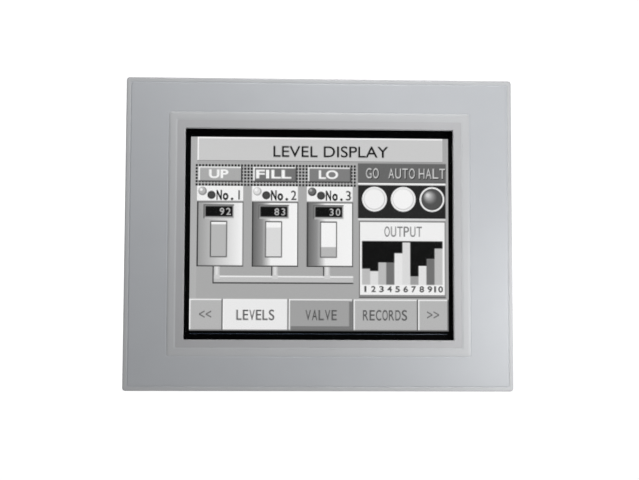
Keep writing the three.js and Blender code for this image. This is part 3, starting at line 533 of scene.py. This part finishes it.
def draw_lamps(picture):
    """The heading over three lamps, the first two lit."""
    picture.fill(207.6, 33.2, 317.6, 57.6, 107)
    for word, left in (("GO", 217), ("AUTO", 245), ("HALT", 283)):
        picture.cells(word, left + 0.8, 40, 52.4, 45, 0.012, 8.6)
        picture.cells(word, left, 39.2, 51.6, 215, 0.006, 8.6)
    picture.fill(208, 57.6, 317, 59.6, 250)
    picture.fill(208, 60.5, 317, 101.7, 38)
    for x, line, face in ((228.3, 208, 252), (264.2, 214, 255), (300.1, 60, 84)):
        picture.disc(x, 77.7, 15.6, 248)
        picture.disc(x, 77.7, 13.3, line)
        picture.disc(x - 0.3, 77.4, 12.4, face)
    for step in range(8):
        picture.disc(297.6 - 0.4 * step, 75.2 - 0.4 * step, 9 - step, 92 + 18 * step)
    picture.fill(208, 102.2, 317, 104, 235)


def draw_chart(picture):
    """The bar chart."""
    picture.fill(209.2, 105.2, 317, 198, 120)
    picture.fill(210.4, 106.4, 315.8, 196.8, 250)
    picture.cells("OUTPUT", 240, 112, 124.4, 130, 0.004)
    picture.fill(213, 130, 313, 184, 8)
    tops = (164.1, 167.2, 156.3, 156.3, 144.9, 131.6, 173.3, 160.7, 151.6, 138.8)
    greys = (196, 232, 196, 118, 240, 228, 165, 236, 118, 200)
    for index, (top, grey) in enumerate(zip(tops, greys)):
        left = 213 + 10 * index
        picture.fill(left, top, left + 10, 184, grey)
        number = str(index + 1)
        for place, digit in enumerate(number):
            middle = left + 4 + 7 * (place - (len(number) - 1) / 2)
            reach = 1.2 if digit == "1" else 2.8
            picture.word(digit, middle - reach, middle + reach, 186.1, 193, 75, 0.02)
    picture.fill(209.2, 199, 317, 200.4, 70)


def draw_keys(picture):
    """The row of keys along the bottom."""
    keys = ((0, 41, 190), (41, 122, 244), (122, 202, 165), (202, 282, 188), (282, 320, 190))
    for left, right, face in keys:
        picture.raised(left, 200.8, right, 240, face, 252, 100, 1.5)
    picture.fill(124.5, 204, 200, 238.5, 128)
    picture.fill(124.5, 204, 196.5, 234, 168)
    for word, left in (("LEVELS", 57), ("VALVE", 142), ("RECORDS", 213)):
        picture.cells(word, left, 214, 226.5, 88, 0.006)
    for word, left in (("<<", 12), (">>", 293)):
        picture.word(word, left, left + 15, 213.6, 226, 105, 0.0)


def draw_title(picture):
    """The title panel and the dotted band under it."""
    picture.fill(0, 0, 8, 240, 185)
    picture.fill(316, 0, 320, 240, 178)
    picture.fill(8, 0, 313, 30, 158)
    picture.fill(8, 0, 313, 29, 255)
    picture.fill(9.8, 1.8, 313, 29, 211)
    picture.word("LEVEL DISPLAY", 102, 245, 10.7, 24.1, 20, 0.003)
    picture.fill(6, 33.6, 205.4, 60.2, 190)
    for row in range(7):
        for column in range(50):
            left, top = 6 + 4 * column, 34.2 + 4 * row
            picture.fill(left, top, left + 2.6, top + 2.6, 25)


def picture_light():
    picture = Picture(177)
    draw_title(picture)
    picture.measure_from(-0.4, 0)
    draw_tanks(picture)
    draw_pipes(picture)
    picture.measure_from(-0.4, -1.6)
    draw_lamps(picture)
    draw_chart(picture)
    picture.measure_from(0, 0)
    draw_keys(picture)
    return picture.light()


ACTIVE = (115.2, 86.4)  # width and height of the picture, for a display assumed to be 5.7 inch


def make_picture():
    """A thin sheet on the front of the display cell, with one face for each dot."""
    cell_low, cell_high = limits("lcd_cell")
    middle = (cell_low + cell_high) / 2
    front, back = cell_low.y - 0.12, cell_low.y - 0.02
    across, down = DOTS_ACROSS, DOTS_DOWN
    xs = middle.x + ACTIVE[0] * (np.arange(across + 1) / across - 0.5)
    zs = middle.z + ACTIVE[1] * (0.5 - np.arange(down + 1) / down)
    grid = [(x, front, z) for z in zs for x in xs]
    corners = [(xs[column], back, zs[row]) for row, column in ((0, 0), (0, -1), (-1, -1), (-1, 0))]
    wide = across + 1
    starts = [row * wide + column for row in range(down) for column in range(across)]
    dots = [(corner, corner + wide, corner + wide + 1, corner + 1) for corner in starts]
    last = down * wide
    top = list(range(wide))
    right = [row * wide + across for row in range(down + 1)]
    bottom = [last + column for column in range(across, -1, -1)]
    left = [row * wide for row in range(down, -1, -1)]
    start = len(grid)
    edges = enumerate((top, right, bottom, left))
    sides = [[*edge, start + (index + 1) % 4, start + index] for index, edge in edges]
    data = bpy.data.meshes.new("lcd_image")
    data.from_pydata([tuple(value * MM for value in point) for point in grid + corners], [], dots + sides + [
        [start + 3, start + 2, start + 1, start]
    ])
    data.materials.append(PICTURE_LIGHT)
    shades = np.zeros((len(data.loops), 4), np.float32)
    shades[:, 3] = 1
    shades[: 4 * len(dots), :3] = np.repeat(picture_light().reshape(-1), 4)[:, None]
    layer = data.color_attributes.new(PICTURE_DOTS, "FLOAT_COLOR", "CORNER")
    layer.data.foreach_set("color", shades.reshape(-1))
    piece = add_object("lcd_image", data)
    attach(piece, "root")


# ---- The front ----


RING = (66.2, 53.4)  # half the raised ring's width and height
WINDOW = (59.35, 46.65)  # half the window's width and height
RIM_BANDS, RING_BANDS, LAND_BANDS = range(2, 8), range(18, 23), range(23, 29)  # bands of the bezel's sections


def make_bezel():
    """The bezel: flat face with a fine line inside its rim, low raised ring, land round the window."""
    low, high = limits("front_bezel")
    half_width, half_height, back, crest = high.x, high.z, high.y, low.y
    face = crest + 0.2

    def rim(inset, corner, y):
        return half_width - inset, half_height - inset, corner, y

    def ring(grow, corner, y):
        return RING[0] + grow, RING[1] + grow, corner, y

    def window(grow, corner, y):
        return WINDOW[0] + grow, WINDOW[1] + grow, corner, y

    sections = [
        rim(0.25, 1.1, back),
        rim(0, 1.3, back - 0.25),
        rim(0, 1.3, face + 0.6),
        rim(0.05, 1.28, face + 0.34),
        rim(0.18, 1.2, face + 0.15),
        rim(0.4, 1.1, face + 0.03),
        rim(0.65, 1.0, face),
        rim(1.6, 0.9, face),
        rim(1.78, 0.85, face + 0.04),
        rim(1.92, 0.82, face + 0.14),
        rim(2.2, 0.8, face + 0.14),
        rim(2.34, 0.78, face + 0.04),
        rim(2.5, 0.75, face),
        rim(2.8, 0.72, face),
        ring(1.1, 1.3, face),
        ring(0.8, 1.2, face),
        ring(0.68, 1.15, face + 0.07),
        ring(0.45, 1.1, face + 0.07),
        ring(0.3, 1.05, face),
        ring(-0.3, 0.95, crest + 0.03),
        ring(-0.6, 0.9, crest),
        ring(-2.5, 0.7, crest),
        ring(-2.8, 0.65, crest + 0.03),
        ring(-3.3, 0.6, face + 0.02),
        ring(-3.6, 0.55, face + 0.02),
        window(0.6, 0.5, face + 0.02),
        window(0.35, 0.45, face + 0.02),
        window(0.1, 0.42, face + 0.1),
        window(0, 0.4, face + 0.3),
        window(0, 0.4, -5),
        (62, 49, 0.4, -5),
        (62, 49, 0.4, -2.1),
        (73, 53.2, 1, -2.1),
        (73, 53.2, 1, back),
        (79, 62.5, 1.6, back),
        (79, 62.5, 1.6, -2.5),
        (84.3, 67.8, 2.2, -2.5),
        (84.3, 67.8, 2.2, back),
    ]

    def look(index):
        if index in LAND_BANDS:
            return 2
        return 1 if index in RIM_BANDS or index in RING_BANDS else 0

    mesh = bmesh.new()
    loft(mesh, [rounded_outline(*section) for section in sections], closed=True, look=look)
    notch = bmesh.new()
    block(notch, (-5, -4.7, -53.19), (5, -1.6, -48.8))
    finish_piece(
        "bezel_moulding", carve(mesh, notch), "root", BEZEL_PLASTIC,
        ["front_bezel"], 24, (RING_PLASTIC, LAND_PLASTIC),
    )


def make_gasket():
    """The foam gasket, its free edges rounded."""
    low, high = limits("panel_gasket")
    width, thickness = 4.7, high.y - low.y
    outer = (high.x, high.z)
    inner = (high.x - width, high.z - width)
    profile = ((0.5, 0.0), (0.15, 0.12), (0.0, 0.45), (0.0, thickness - 0.1), (0.1, thickness))
    mesh = bmesh.new()
    sections = []
    for (half_width, half_height), corner, side in ((outer, 2.2, -1), (inner, 1.6, 1)):
        stretch = []
        for inset, depth in profile:
            stretch.append((half_width + side * inset, half_height + side * inset, corner, high.y - depth))
        sections += stretch if side < 0 else stretch[::-1]
    loft(mesh, [rounded_outline(*section) for section in sections], closed=True)
    finish_piece("gasket_foam_ring", mesh, "root", FOAM, ["panel_gasket"], 60)


def make_mask_line():
    """A painted glint: a faint blue-grey line painted across the black border, where the lower edge of the
    display's glass catches light.
    """
    front = limits("screen_mask")[0].y
    mesh = bmesh.new()
    block(mesh, (-57, front - 0.1, -44.17), (57.2, front - 0.02, -43.93), 0.02)
    # painted glint: this blue-grey colour stands in for light caught on the glass edge
    line = moulded_plastic("painted_glint_line", (0.020, 0.034, 0.058), 0.5, 0.4, 0.002, 0.1)
    finish_piece("painted_glint_line", mesh, "root", line, smooth=32)


def make_film_border():
    """Black print behind the film just outside the window, and black tape under the glass at its tail."""
    back = limits("touch_film")[1].y
    front_side, back_side = back - 0.01, back + 0.04
    mesh = bmesh.new()
    loft(mesh, [
        rounded_outline(61.3, 48.3, 0.5, front_side), rounded_outline(61.3, 48.3, 0.5, back_side),
        rounded_outline(59.45, 46.75, 0.4, back_side), rounded_outline(59.45, 46.75, 0.4, front_side),
    ], closed=True)
    finish_piece("film_border", mesh, "touch_film", PRINT, smooth=32)
    low, high = limits("touch_glass")
    tape = bmesh.new()
    block(tape, (-6, low.y + 0.08, low.z - 0.22), (6, high.y - 0.08, low.z - 0.06), 0.04)
    finish_piece("glass_edge_tape", tape, "root", FOAM, smooth=32)


# ---- Screws and clamp pads ----


def cross_recess(centre, top, reach, width, depth):
    """The tool that cuts a cross recess down from the top of a head that faces back."""
    tool = bmesh.new()
    x, _, z = centre
    for across, up in ((reach, width / 2), (width / 2, reach)):
        block(tool, (x - across, top - depth, z - up), (x + across, top + 1, z + up))
    block(tool, (x - width, top - depth * 1.15, z - width), (x + width, top + 1, z + width))
    return tool


def machine_screw(name, node, body, shank, head_height, pitch):
    """A cross-recessed pan-head screw with a real thread, along Y, its head to the back."""
    low, high = limits(node)
    centre = (low + high) / 2
    place = along("y", (centre.x, 0, centre.z))
    radius, top, seat = (high.x - low.x) / 2, high.y, high.y - head_height
    outline = (
        (radius - 0.15, seat), (radius, seat + 0.15), (radius, top - 0.45 * head_height),
        (radius - 0.12, top - 0.25 * head_height), (radius * 0.85, top - 0.12 * head_height),
        (radius * 0.6, top - 0.03 * head_height), (0.3, top),
    )
    head = bmesh.new()
    turned(head, outline, place, 40)
    screw = carve(head, cross_recess(centre, top, radius * 0.68, radius * 0.22, 0.5 * head_height))
    loft(screw, thread_rings(shank, 0.6 * pitch, pitch, low.y, seat - 0.4, place, 20, 6))
    turned(screw, ((shank - 0.3 * pitch, seat - 0.7), (shank - 0.3 * pitch, seat + 0.3)), place, 20)
    finish_piece(name, screw, body, BRIGHT_STEEL, [node], 40)


def clamp_pad(index):
    """The swivelling pad on the end of a clamp screw, with a groove round it."""
    node = f"clamp_pad_{index}"
    low, high = limits(node)
    centre = (low + high) / 2
    radius = (high.x - low.x) / 2
    mesh = bmesh.new()
    outline = (
        (radius - 0.5, low.y), (radius - 0.12, low.y + 0.1), (radius, low.y + 0.4), (radius, low.y + 1.2),
        (radius - 0.35, low.y + 1.45), (radius - 0.35, low.y + 1.8), (radius, low.y + 2.05),
        (radius, high.y - 0.3), (radius - 0.3, high.y - 0.05), (radius - 0.8, high.y),
    )
    turned(mesh, outline, along("y", (centre.x, 0, centre.z)), 36)
    finish_piece(f"pad_{index}", mesh, node, BLACK_PLASTIC, [node], 40)


def make_screws():
    for index in range(1, 5):
        machine_screw(f"clamp_bolt_{index}", f"clamp_screw_{index}", f"clamp_screw_{index}", 2, 2.5, 0.7)
        machine_screw(f"case_bolt_{index}", f"case_screw_{index}", "root", 1.4, 2, 0.5)
        clamp_pad(index)


# ---- Connectors ----

TERMINAL_PITCH = 5.08
JACK_POST_REACH = 23.52  # from the middle of the serial port to either post
SERIAL_PITCH, SERIAL_ROW = 2.77, 1.42  # between contacts, and from the middle to either row
NETWORK_PITCH = 1.02
CARD_PITCH = 1.6
LEG_PITCH = 1.27  # between the legs of a chip

def soft_corners(corners, radius, height, steps=5):
    """A flat outline across Z with its corners rounded."""
    points = []
    count = len(corners)
    for index in range(count):
        corner = Vector(corners[index])
        before = (Vector(corners[index - 1]) - corner).normalized() * radius
        after = (Vector(corners[(index + 1) % count]) - corner).normalized() * radius
        for step in range(steps + 1):
            part = step / steps
            point = corner + before * (1 - part) ** 2 + after * part**2
            points.append(Vector((point.x, point.y, height)))
    return points


def make_serial_port():
    """A 25-way socket: plated flange and hollow D-shaped shell, black insulator with its contact holes."""
    low, high = limits("serial_port")
    middle = (low + high) / 2
    port_y = (limits("jack_post_1")[0].y + limits("jack_post_1")[1].y) / 2
    mouth, flange_front, flange_back = low.z, low.z + 5.8, low.z + 6.8

    def outline(inset, height):
        wide, narrow, half = 19.15 - inset, 17.75 - inset, 4.2 - inset
        corners = ((-wide, half), (-narrow, -half), (narrow, -half), (wide, half))
        return soft_corners([(middle.x + x, port_y + y) for x, y in corners], 1.6 - inset, height)

    flange = bmesh.new()
    block(flange, (low.x, port_y - 6.25, flange_front), (high.x, port_y + 6.25, flange_back), 0.2)
    holes = bmesh.new()
    for side in SIDES:
        place = along("z", (middle.x + side * JACK_POST_REACH, port_y, 0))
        turned(holes, ((1.8, flange_front - 1), (1.8, flange_back + 1)), place)
    shell = carve(flange, holes)
    root = flange_front + 0.4
    lip = ((0, 0.25), (0.08, 0.06), (0.2, 0), (0.36, 0), (0.48, 0.08), (0.52, 0.3))
    rolled = [outline(inset, mouth + height) for inset, height in lip]
    loft(shell, [outline(0, root), *rolled, outline(0.52, root)], closed=True)
    finish_piece("serial_shell", shell, "root", BRIGHT_STEEL, ["serial_port"])

    insulator = bmesh.new()
    face = mouth + 0.7
    loft(insulator, [outline(0.62, flange_front + 0.3), outline(0.62, face + 0.2), outline(0.8, face)])
    block(insulator, (middle.x - 19.5, port_y - 6, flange_back), (middle.x + 19.5, port_y + 5.4, high.z), 0.3)
    holes = bmesh.new()
    hole = ((0.8, face - 0.5), (0.8, face + 0.15), (0.55, face + 0.4), (0.55, face + 3.2))
    for count, row_y in ((13, SERIAL_ROW), (12, -SERIAL_ROW)):
        for index in range(count):
            x = middle.x + (index - (count - 1) / 2) * SERIAL_PITCH
            turned(holes, hole, along("z", (x, port_y + row_y, 0)), 14)
    finish_piece("serial_insulator", carve(insulator, holes), "root", BLACK_PLASTIC)


def make_tool_port():
    """A round eight-way socket with a key, a metal shield in its groove."""
    low, high = limits("tool_port")
    middle = (low + high) / 2
    place = along("z", (middle.x, middle.y, 0))
    mouth = low.z
    socket = bmesh.new()
    rim = ((6, 3.6), (6, 0.2), (5.85, 0.03), (5.7, 0), (4.95, 0), (4.8, 0.05), (4.7, 0.2))
    core = ((4.7, 4.2), (3.7, 4.2), (3.7, 0.75), (3.6, 0.62), (3.4, 0.6), (0.3, 0.6))
    turned(socket, [(radius, mouth + height) for radius, height in rim + core], place, 44)
    holes = bmesh.new()
    middle_row = ((-2.25, 0.3), (-0.75, 0.3), (0.75, 0.3), (2.25, 0.3))
    outer_rows = ((-1.5, 1.9), (1.5, 1.9), (-0.95, -1.3), (0.95, -1.3))
    for x, y in middle_row + outer_rows:
        turned(holes, ((0.42, mouth), (0.42, mouth + 3.4)), along("z", (middle.x + x, middle.y + y, 0)), 14)
    block(holes, (middle.x - 0.9, middle.y - 3.0, mouth), (middle.x + 0.9, middle.y - 2.1, mouth + 3.4))
    socket = carve(socket, holes)
    block(socket, (low.x, low.y, mouth + 3.4), (high.x, high.y, high.z), 0.3)
    finish_piece("tool_socket", socket, "root", BLACK_PLASTIC, ["tool_port"])
    shield = bmesh.new()
    wall = ((4.62, 4.1), (4.62, 0.5), (4.56, 0.4), (4.38, 0.4), (4.32, 0.5), (4.32, 4.1))
    loft(shield, [circle(radius, mouth + height, place, 44) for radius, height in wall], closed=True)
    finish_piece("tool_socket_shield", shield, "root", BRIGHT_STEEL)


def make_power_plug():
    """The pull-off plug with a hole in its tongue for each pin, its wire cages, and the socket's pins."""
    low, high = limits("power_plug")
    middle = (low + high) / 2
    roof = limits("power_socket")[1].z - 2
    plug, holes, pins, cages = bmesh.new(), bmesh.new(), bmesh.new(), bmesh.new()
    plug.from_mesh(NODES["power_plug"].data)
    bmesh.ops.transform(plug, matrix=NODES["power_plug"].matrix_world, verts=plug.verts)
    bmesh.ops.scale(plug, vec=(1 / MM, 1 / MM, 1 / MM), verts=plug.verts)
    bmesh.ops.remove_doubles(plug, verts=plug.verts, dist=0.001)
    pin = ((0.3, -7.5), (0.5, -7.2), (0.5, -0.6), (0.8, -0.5), (0.8, 0.2))
    cage_front, cage_back, cage_bottom, cage_top = 31.7, 34.9, low.z + 0.9, low.z + 7.6
    for index in (-1, 0, 1):
        x = middle.x + index * TERMINAL_PITCH
        block(holes, (x - 0.9, middle.y - 0.9, high.z - 8.2), (x + 0.9, middle.y + 0.9, high.z + 1))
        turned(pins, [(radius, roof + height) for radius, height in pin], along("z", (x, middle.y, 0)), 20)
        for side in SIDES:
            wall = x + side * 1.35
            block(cages, (wall - 0.15, cage_front, cage_bottom), (wall + 0.15, cage_back, cage_top), 0.05)
        for y in (cage_front, 34.6):
            block(cages, (x - 1.2, y, cage_bottom), (x + 1.2, y + 0.3, cage_top), 0.05)
    body = finish_piece(
        "plug_body", carve(plug, holes), "power_plug", GREEN_PLASTIC, ["power_plug"], 32
    )
    round_edges(body, 0.2)
    finish_piece("plug_cages", cages, "power_plug", BRIGHT_STEEL, smooth=32)
    finish_piece("socket_pins", pins, "root", BRIGHT_STEEL, smooth=32)


def bent_strip(mesh, points, x, width, thickness):
    """A flat contact spring whose middle line runs through places in Y and Z."""
    rings = []
    for index, point in enumerate(points):
        before, after = points[max(index - 1, 0)], points[min(index + 1, len(points) - 1)]
        run = (Vector(after) - Vector(before)).normalized()
        across = Vector((-run.y, run.x)) * thickness / 2
        ring = []
        for side_x, side in ((-1, -1), (1, -1), (1, 1), (-1, 1)):
            y, z = Vector(point) + across * side
            ring.append(Vector((x + side_x * width / 2, y, z)))
        rings.append(ring)
    loft(mesh, rings)


def make_contacts():
    """Springs in the network socket and pins in the card slot."""
    low, high = limits("ethernet_port")
    middle, mouth = (low + high) / 2, low.z
    springs = bmesh.new()
    bend = ((31.25, 1.2), (31.35, 2), (31.9, 3.4), (33.4, 6.6), (34.0, 8.4), (34.0, 9.2), (33.6, 9.9))
    places = [(y, mouth + rise) for y, rise in bend]
    for index in range(8):
        bent_strip(springs, places, middle.x + (index - 3.5) * NETWORK_PITCH, 0.46, 0.16)
    finish_piece("network_springs", springs, "root", GOLD, (), 50)

    low, high = limits("card_slot")
    middle = (low + high) / 2
    pins = bmesh.new()
    for row_y in (30.6, 32.4):
        for index in range(25):
            z = middle.z + (index - 12) * CARD_PITCH
            block(pins, (low.x + 4, row_y, z - 0.22), (low.x + 8.5, row_y + 0.44, z + 0.22), 0.08)
    finish_piece("card_pins", pins, "root", GOLD)


# ---- Small parts on the main board, seen through the vents, and the rating label ----


def make_board_parts():
    board = limits("main_board")[1].y
    chips, metal = bmesh.new(), bmesh.new()
    for x, z, width, height in (
        (-26, 8, 18, 8), (-26, -4, 18, 8), (-50, 6, 10, 14), (-50, -14, 12, 9), (-8, 44, 12, 6),
        (10, 46, 14, 7), (8, -12, 20, 9), (36, 44, 12, 6), (24, 50, 6, 4), (-30, 27, 8, 6),
    ):
        left, right, bottom, top = x - width / 2, x + width / 2, z - height / 2, z + height / 2
        block(chips, (left, board + 0.35, bottom), (right, board + 1.8, top), 0.15)
        count = int(width / LEG_PITCH) - 1
        for index in range(count):
            leg_x = x + (index - (count - 1) / 2) * LEG_PITCH
            for side in SIDES:
                near, far = sorted((side * (height / 2 - 0.2) + z, side * (height / 2 + 0.9) + z))
                block(metal, (leg_x - 0.2, board + 0.05, near), (leg_x + 0.2, board + 0.5, far), 0.08)
    finish_piece("board_chips", chips, "root", BLACK_PLASTIC)
    cans = ((46, 50, 3.1, 6.5), (53, 42, 2.5, 5.5), (-34, 48, 2.5, 5.5), (-6, -22, 3.1, 6.5))
    for x, z, radius, height in cans:
        top = board + height
        turned(metal, (
            (radius - 0.2, board + 0.1), (radius, board + 0.3), (radius, board + 1.2),
            (radius - 0.3, board + 1.5), (radius, board + 1.8), (radius, top - 0.4),
            (radius - 0.3, top - 0.05), (radius - 0.8, top), (0.3, top - 0.05),
        ), along("y", (x, 0, z)), 30)
    finish_piece("board_cans_and_legs", metal, "root", BRIGHT_STEEL)


def make_rating_label():
    """A blank silver label on the side wall, with a printed frame round it."""
    wall = limits("rear_case")[0].x
    label, lines = bmesh.new(), bmesh.new()
    corners = ((5, -36), (5, 36), (24, 36), (24, -36))

    def outline(inset, x):
        points = [(y + (inset if y < 10 else -inset), z + (inset if z < 0 else -inset)) for y, z in corners]
        return [Vector((x, point.x, point.y)) for point in soft_corners(points, 1.4, 0)]

    loft(label, [outline(0, wall + 0.02), outline(0, wall - 0.06), outline(0.06, wall - 0.09)])
    finish_piece("rating_label", label, "root", WHITE_FILM)
    ink_front, ink_back = wall - 0.11, wall - 0.07
    frame_ring = ((1, ink_back), (1, ink_front), (1.35, ink_front), (1.35, ink_back))
    loft(lines, [outline(inset, x) for inset, x in frame_ring], closed=True)
    for z in (-18, 0, 18):
        block(lines, (ink_front, 6.2, z - 0.15), (ink_back, 22.8, z + 0.15), 0.01)
    finish_piece("rating_label_frame", lines, "root", PRINT)


# ---- CAD nodes that keep their own shape ----

KEPT = {
    "touch_film": (FILM, 0),
    "touch_glass": (GLASS, 0),
    "screen_mask": (PRINT, 0),
    "lcd_front_frame": (SHEET_STEEL, 0),
    "lcd_cell": (GLASS, 0),
    "light_guide": (LIGHT_GUIDE, 0),
    "backlight_lamp": (TUBE, 0),
    "lamp_reflector": (BRIGHT_STEEL, 0),
    "lcd_rear_tray": (WHITE_PLASTIC, 0.25),
    "support_chassis": (SHEET_STEEL, 0.15),
    "main_board": (BOARD, 0),
    "processor": (BLACK_PLASTIC, 0.25),
    "backup_battery": (BRIGHT_STEEL, 0.4),
    "buzzer": (BLACK_PLASTIC, 0.3),
    "power_board": (BOARD, 0),
    "power_transformer": (FERRITE, 0.3),
    "bulk_capacitor": (BLACK_PLASTIC, 0.4),
    "inverter_board": (BOARD, 0),
    "inverter_transformer": (FERRITE, 0.3),
    "display_ribbon": (WHITE_FILM, 0),
    "touch_tail": (AMBER_FILM, 0),
    "lamp_lead": (INSULATION, 0),
    "rear_case": (CASE_PLASTIC, 0.35),
    "power_socket": (GREEN_PLASTIC, 0.2),
    "ethernet_port": (BRIGHT_STEEL, 0.12),
    "card_slot": (BLACK_PLASTIC, 0.15),
    "card_eject_button": (WHITE_PLASTIC, 0.35),
    "card_door": (CASE_PLASTIC, 0.3),
    "door_hinge_pin": (BRIGHT_STEEL, 0.1),
    "dip_switch": (BLACK_PLASTIC, 0.1),
    **{f"dip_lever_{index}": (WHITE_PLASTIC, 0.12) for index in range(1, 5)},
    **{f"terminal_screw_{index}": (BRIGHT_STEEL, 0.12) for index in range(1, 4)},
    **{f"jack_post_{index}": (BRIGHT_STEEL, 0.12) for index in range(1, 3)},
    **{f"clamp_bracket_{index}": (SHEET_STEEL, 0.25) for index in range(1, 5)},
}


def dress_kept_nodes():
    """Gives each kept CAD node its material, and rounds the edges of those that have a radius."""
    for name, (material, edge) in KEPT.items():
        node = NODES[name]
        node.data.materials.clear()
        node.data.materials.append(material)
        weld = node.modifiers.new("weld", "WELD")
        weld.merge_threshold = 1e-6
        if edge:
            round_edges(node, edge)


# ---- Studio and camera ----


def make_camera():
    """Almost square on to the panel, a little to its left and below its middle. Lengths are in metres."""
    place = Vector((-0.0211, -0.5347, -0.0417))
    yaw, pitch, roll = math.radians(2.29), math.radians(4.22), math.radians(0.19)
    ahead = Vector((math.sin(yaw) * math.cos(pitch), math.cos(yaw) * math.cos(pitch), math.sin(pitch)))
    level = ahead.cross(Vector((0, 0, 1))).normalized()
    upright = level.cross(ahead)
    right = level * math.cos(roll) + upright * math.sin(roll)
    up = upright * math.cos(roll) - level * math.sin(roll)
    camera = add_object("camera", bpy.data.cameras.new("camera"))
    camera.data.lens, camera.data.sensor_width = 67.7, 36
    camera.data.clip_start = 0.01
    camera.matrix_world = Matrix.Translation(place) @ Matrix((right, up, -ahead)).transposed().to_4x4()
    bpy.context.scene.camera = camera


def area_light(name, place, target, power, size):
    """A square light, power in watts, that the camera doesn't see. Places and size are in metres."""
    light = bpy.data.lights.new(name, "AREA")
    light.energy, light.size = power, size
    made = add_object(name, light)
    made.location = place
    made.rotation_euler = (Vector(target) - Vector(place)).to_track_quat("-Z", "Y").to_euler()
    made.visible_camera = False


def make_stage():
    """A pale floor that curves up into the backdrop, well below and behind the panel."""
    reach, front, back, floor, radius, height = 3.0, -3.0, 1.4, -0.62, 0.8, 2.6
    profile = [(front, floor)]
    for step in range(13):
        angle = QUARTER * step / 12
        profile.append((back + radius * math.sin(angle), floor + radius * (1 - math.cos(angle))))
    profile.append((back + radius, height))
    verts = [(side * reach, y, z) for y, z in profile for side in SIDES]
    faces = [(row, row + 1, row + 3, row + 2) for row in range(0, len(verts) - 2, 2)]
    data = bpy.data.meshes.new("studio_floor")
    data.from_pydata(verts, [], faces)
    data.shade_smooth()
    looks = Looks("studio_paper", (0.82, 0.82, 0.82), 0.9)
    looks.mottle(looks.noise(900, 1), 0.99, 1.01)
    looks.set("Emission Color", (1, 1, 1, 1))
    looks.set("Emission Strength", 0.75)
    data.materials.append(looks.material)
    add_object("studio_floor", data)


def make_light():
    """A small light close on the right, another above, an even fill, and soft lights round the back."""
    world = bpy.data.worlds.new("studio")
    world.use_nodes = True
    sky = world.node_tree.nodes["Background"]
    sky.inputs["Color"].default_value = (1, 1, 1, 1)
    sky.inputs["Strength"].default_value = 0.1
    bpy.context.scene.world = world
    bpy.context.scene.view_settings.view_transform = "Standard"
    area_light("key", (0.14, -0.13, -0.045), (0.04, 0, 0), 0.235, 0.06)
    area_light("above", (0.03, -0.2, 0.25), (0, 0, 0), 1.08, 0.15)
    area_light("behind", (-0.5, 0.7, 0.6), (0, 0.03, 0), 6.0, 0.5)
    area_light("right", (0.7, 0.4, 0.2), (0, 0.03, 0), 3.5, 0.4)
    area_light("left", (-0.75, 0.3, 0.1), (0, 0.03, 0), 1.5, 0.4)


make_camera()
make_stage()
make_light()
make_picture()
make_bezel()
make_gasket()
make_mask_line()
make_film_border()
make_screws()
make_serial_port()
make_tool_port()
make_power_plug()
make_contacts()
make_board_parts()
make_rating_label()
dress_kept_nodes()
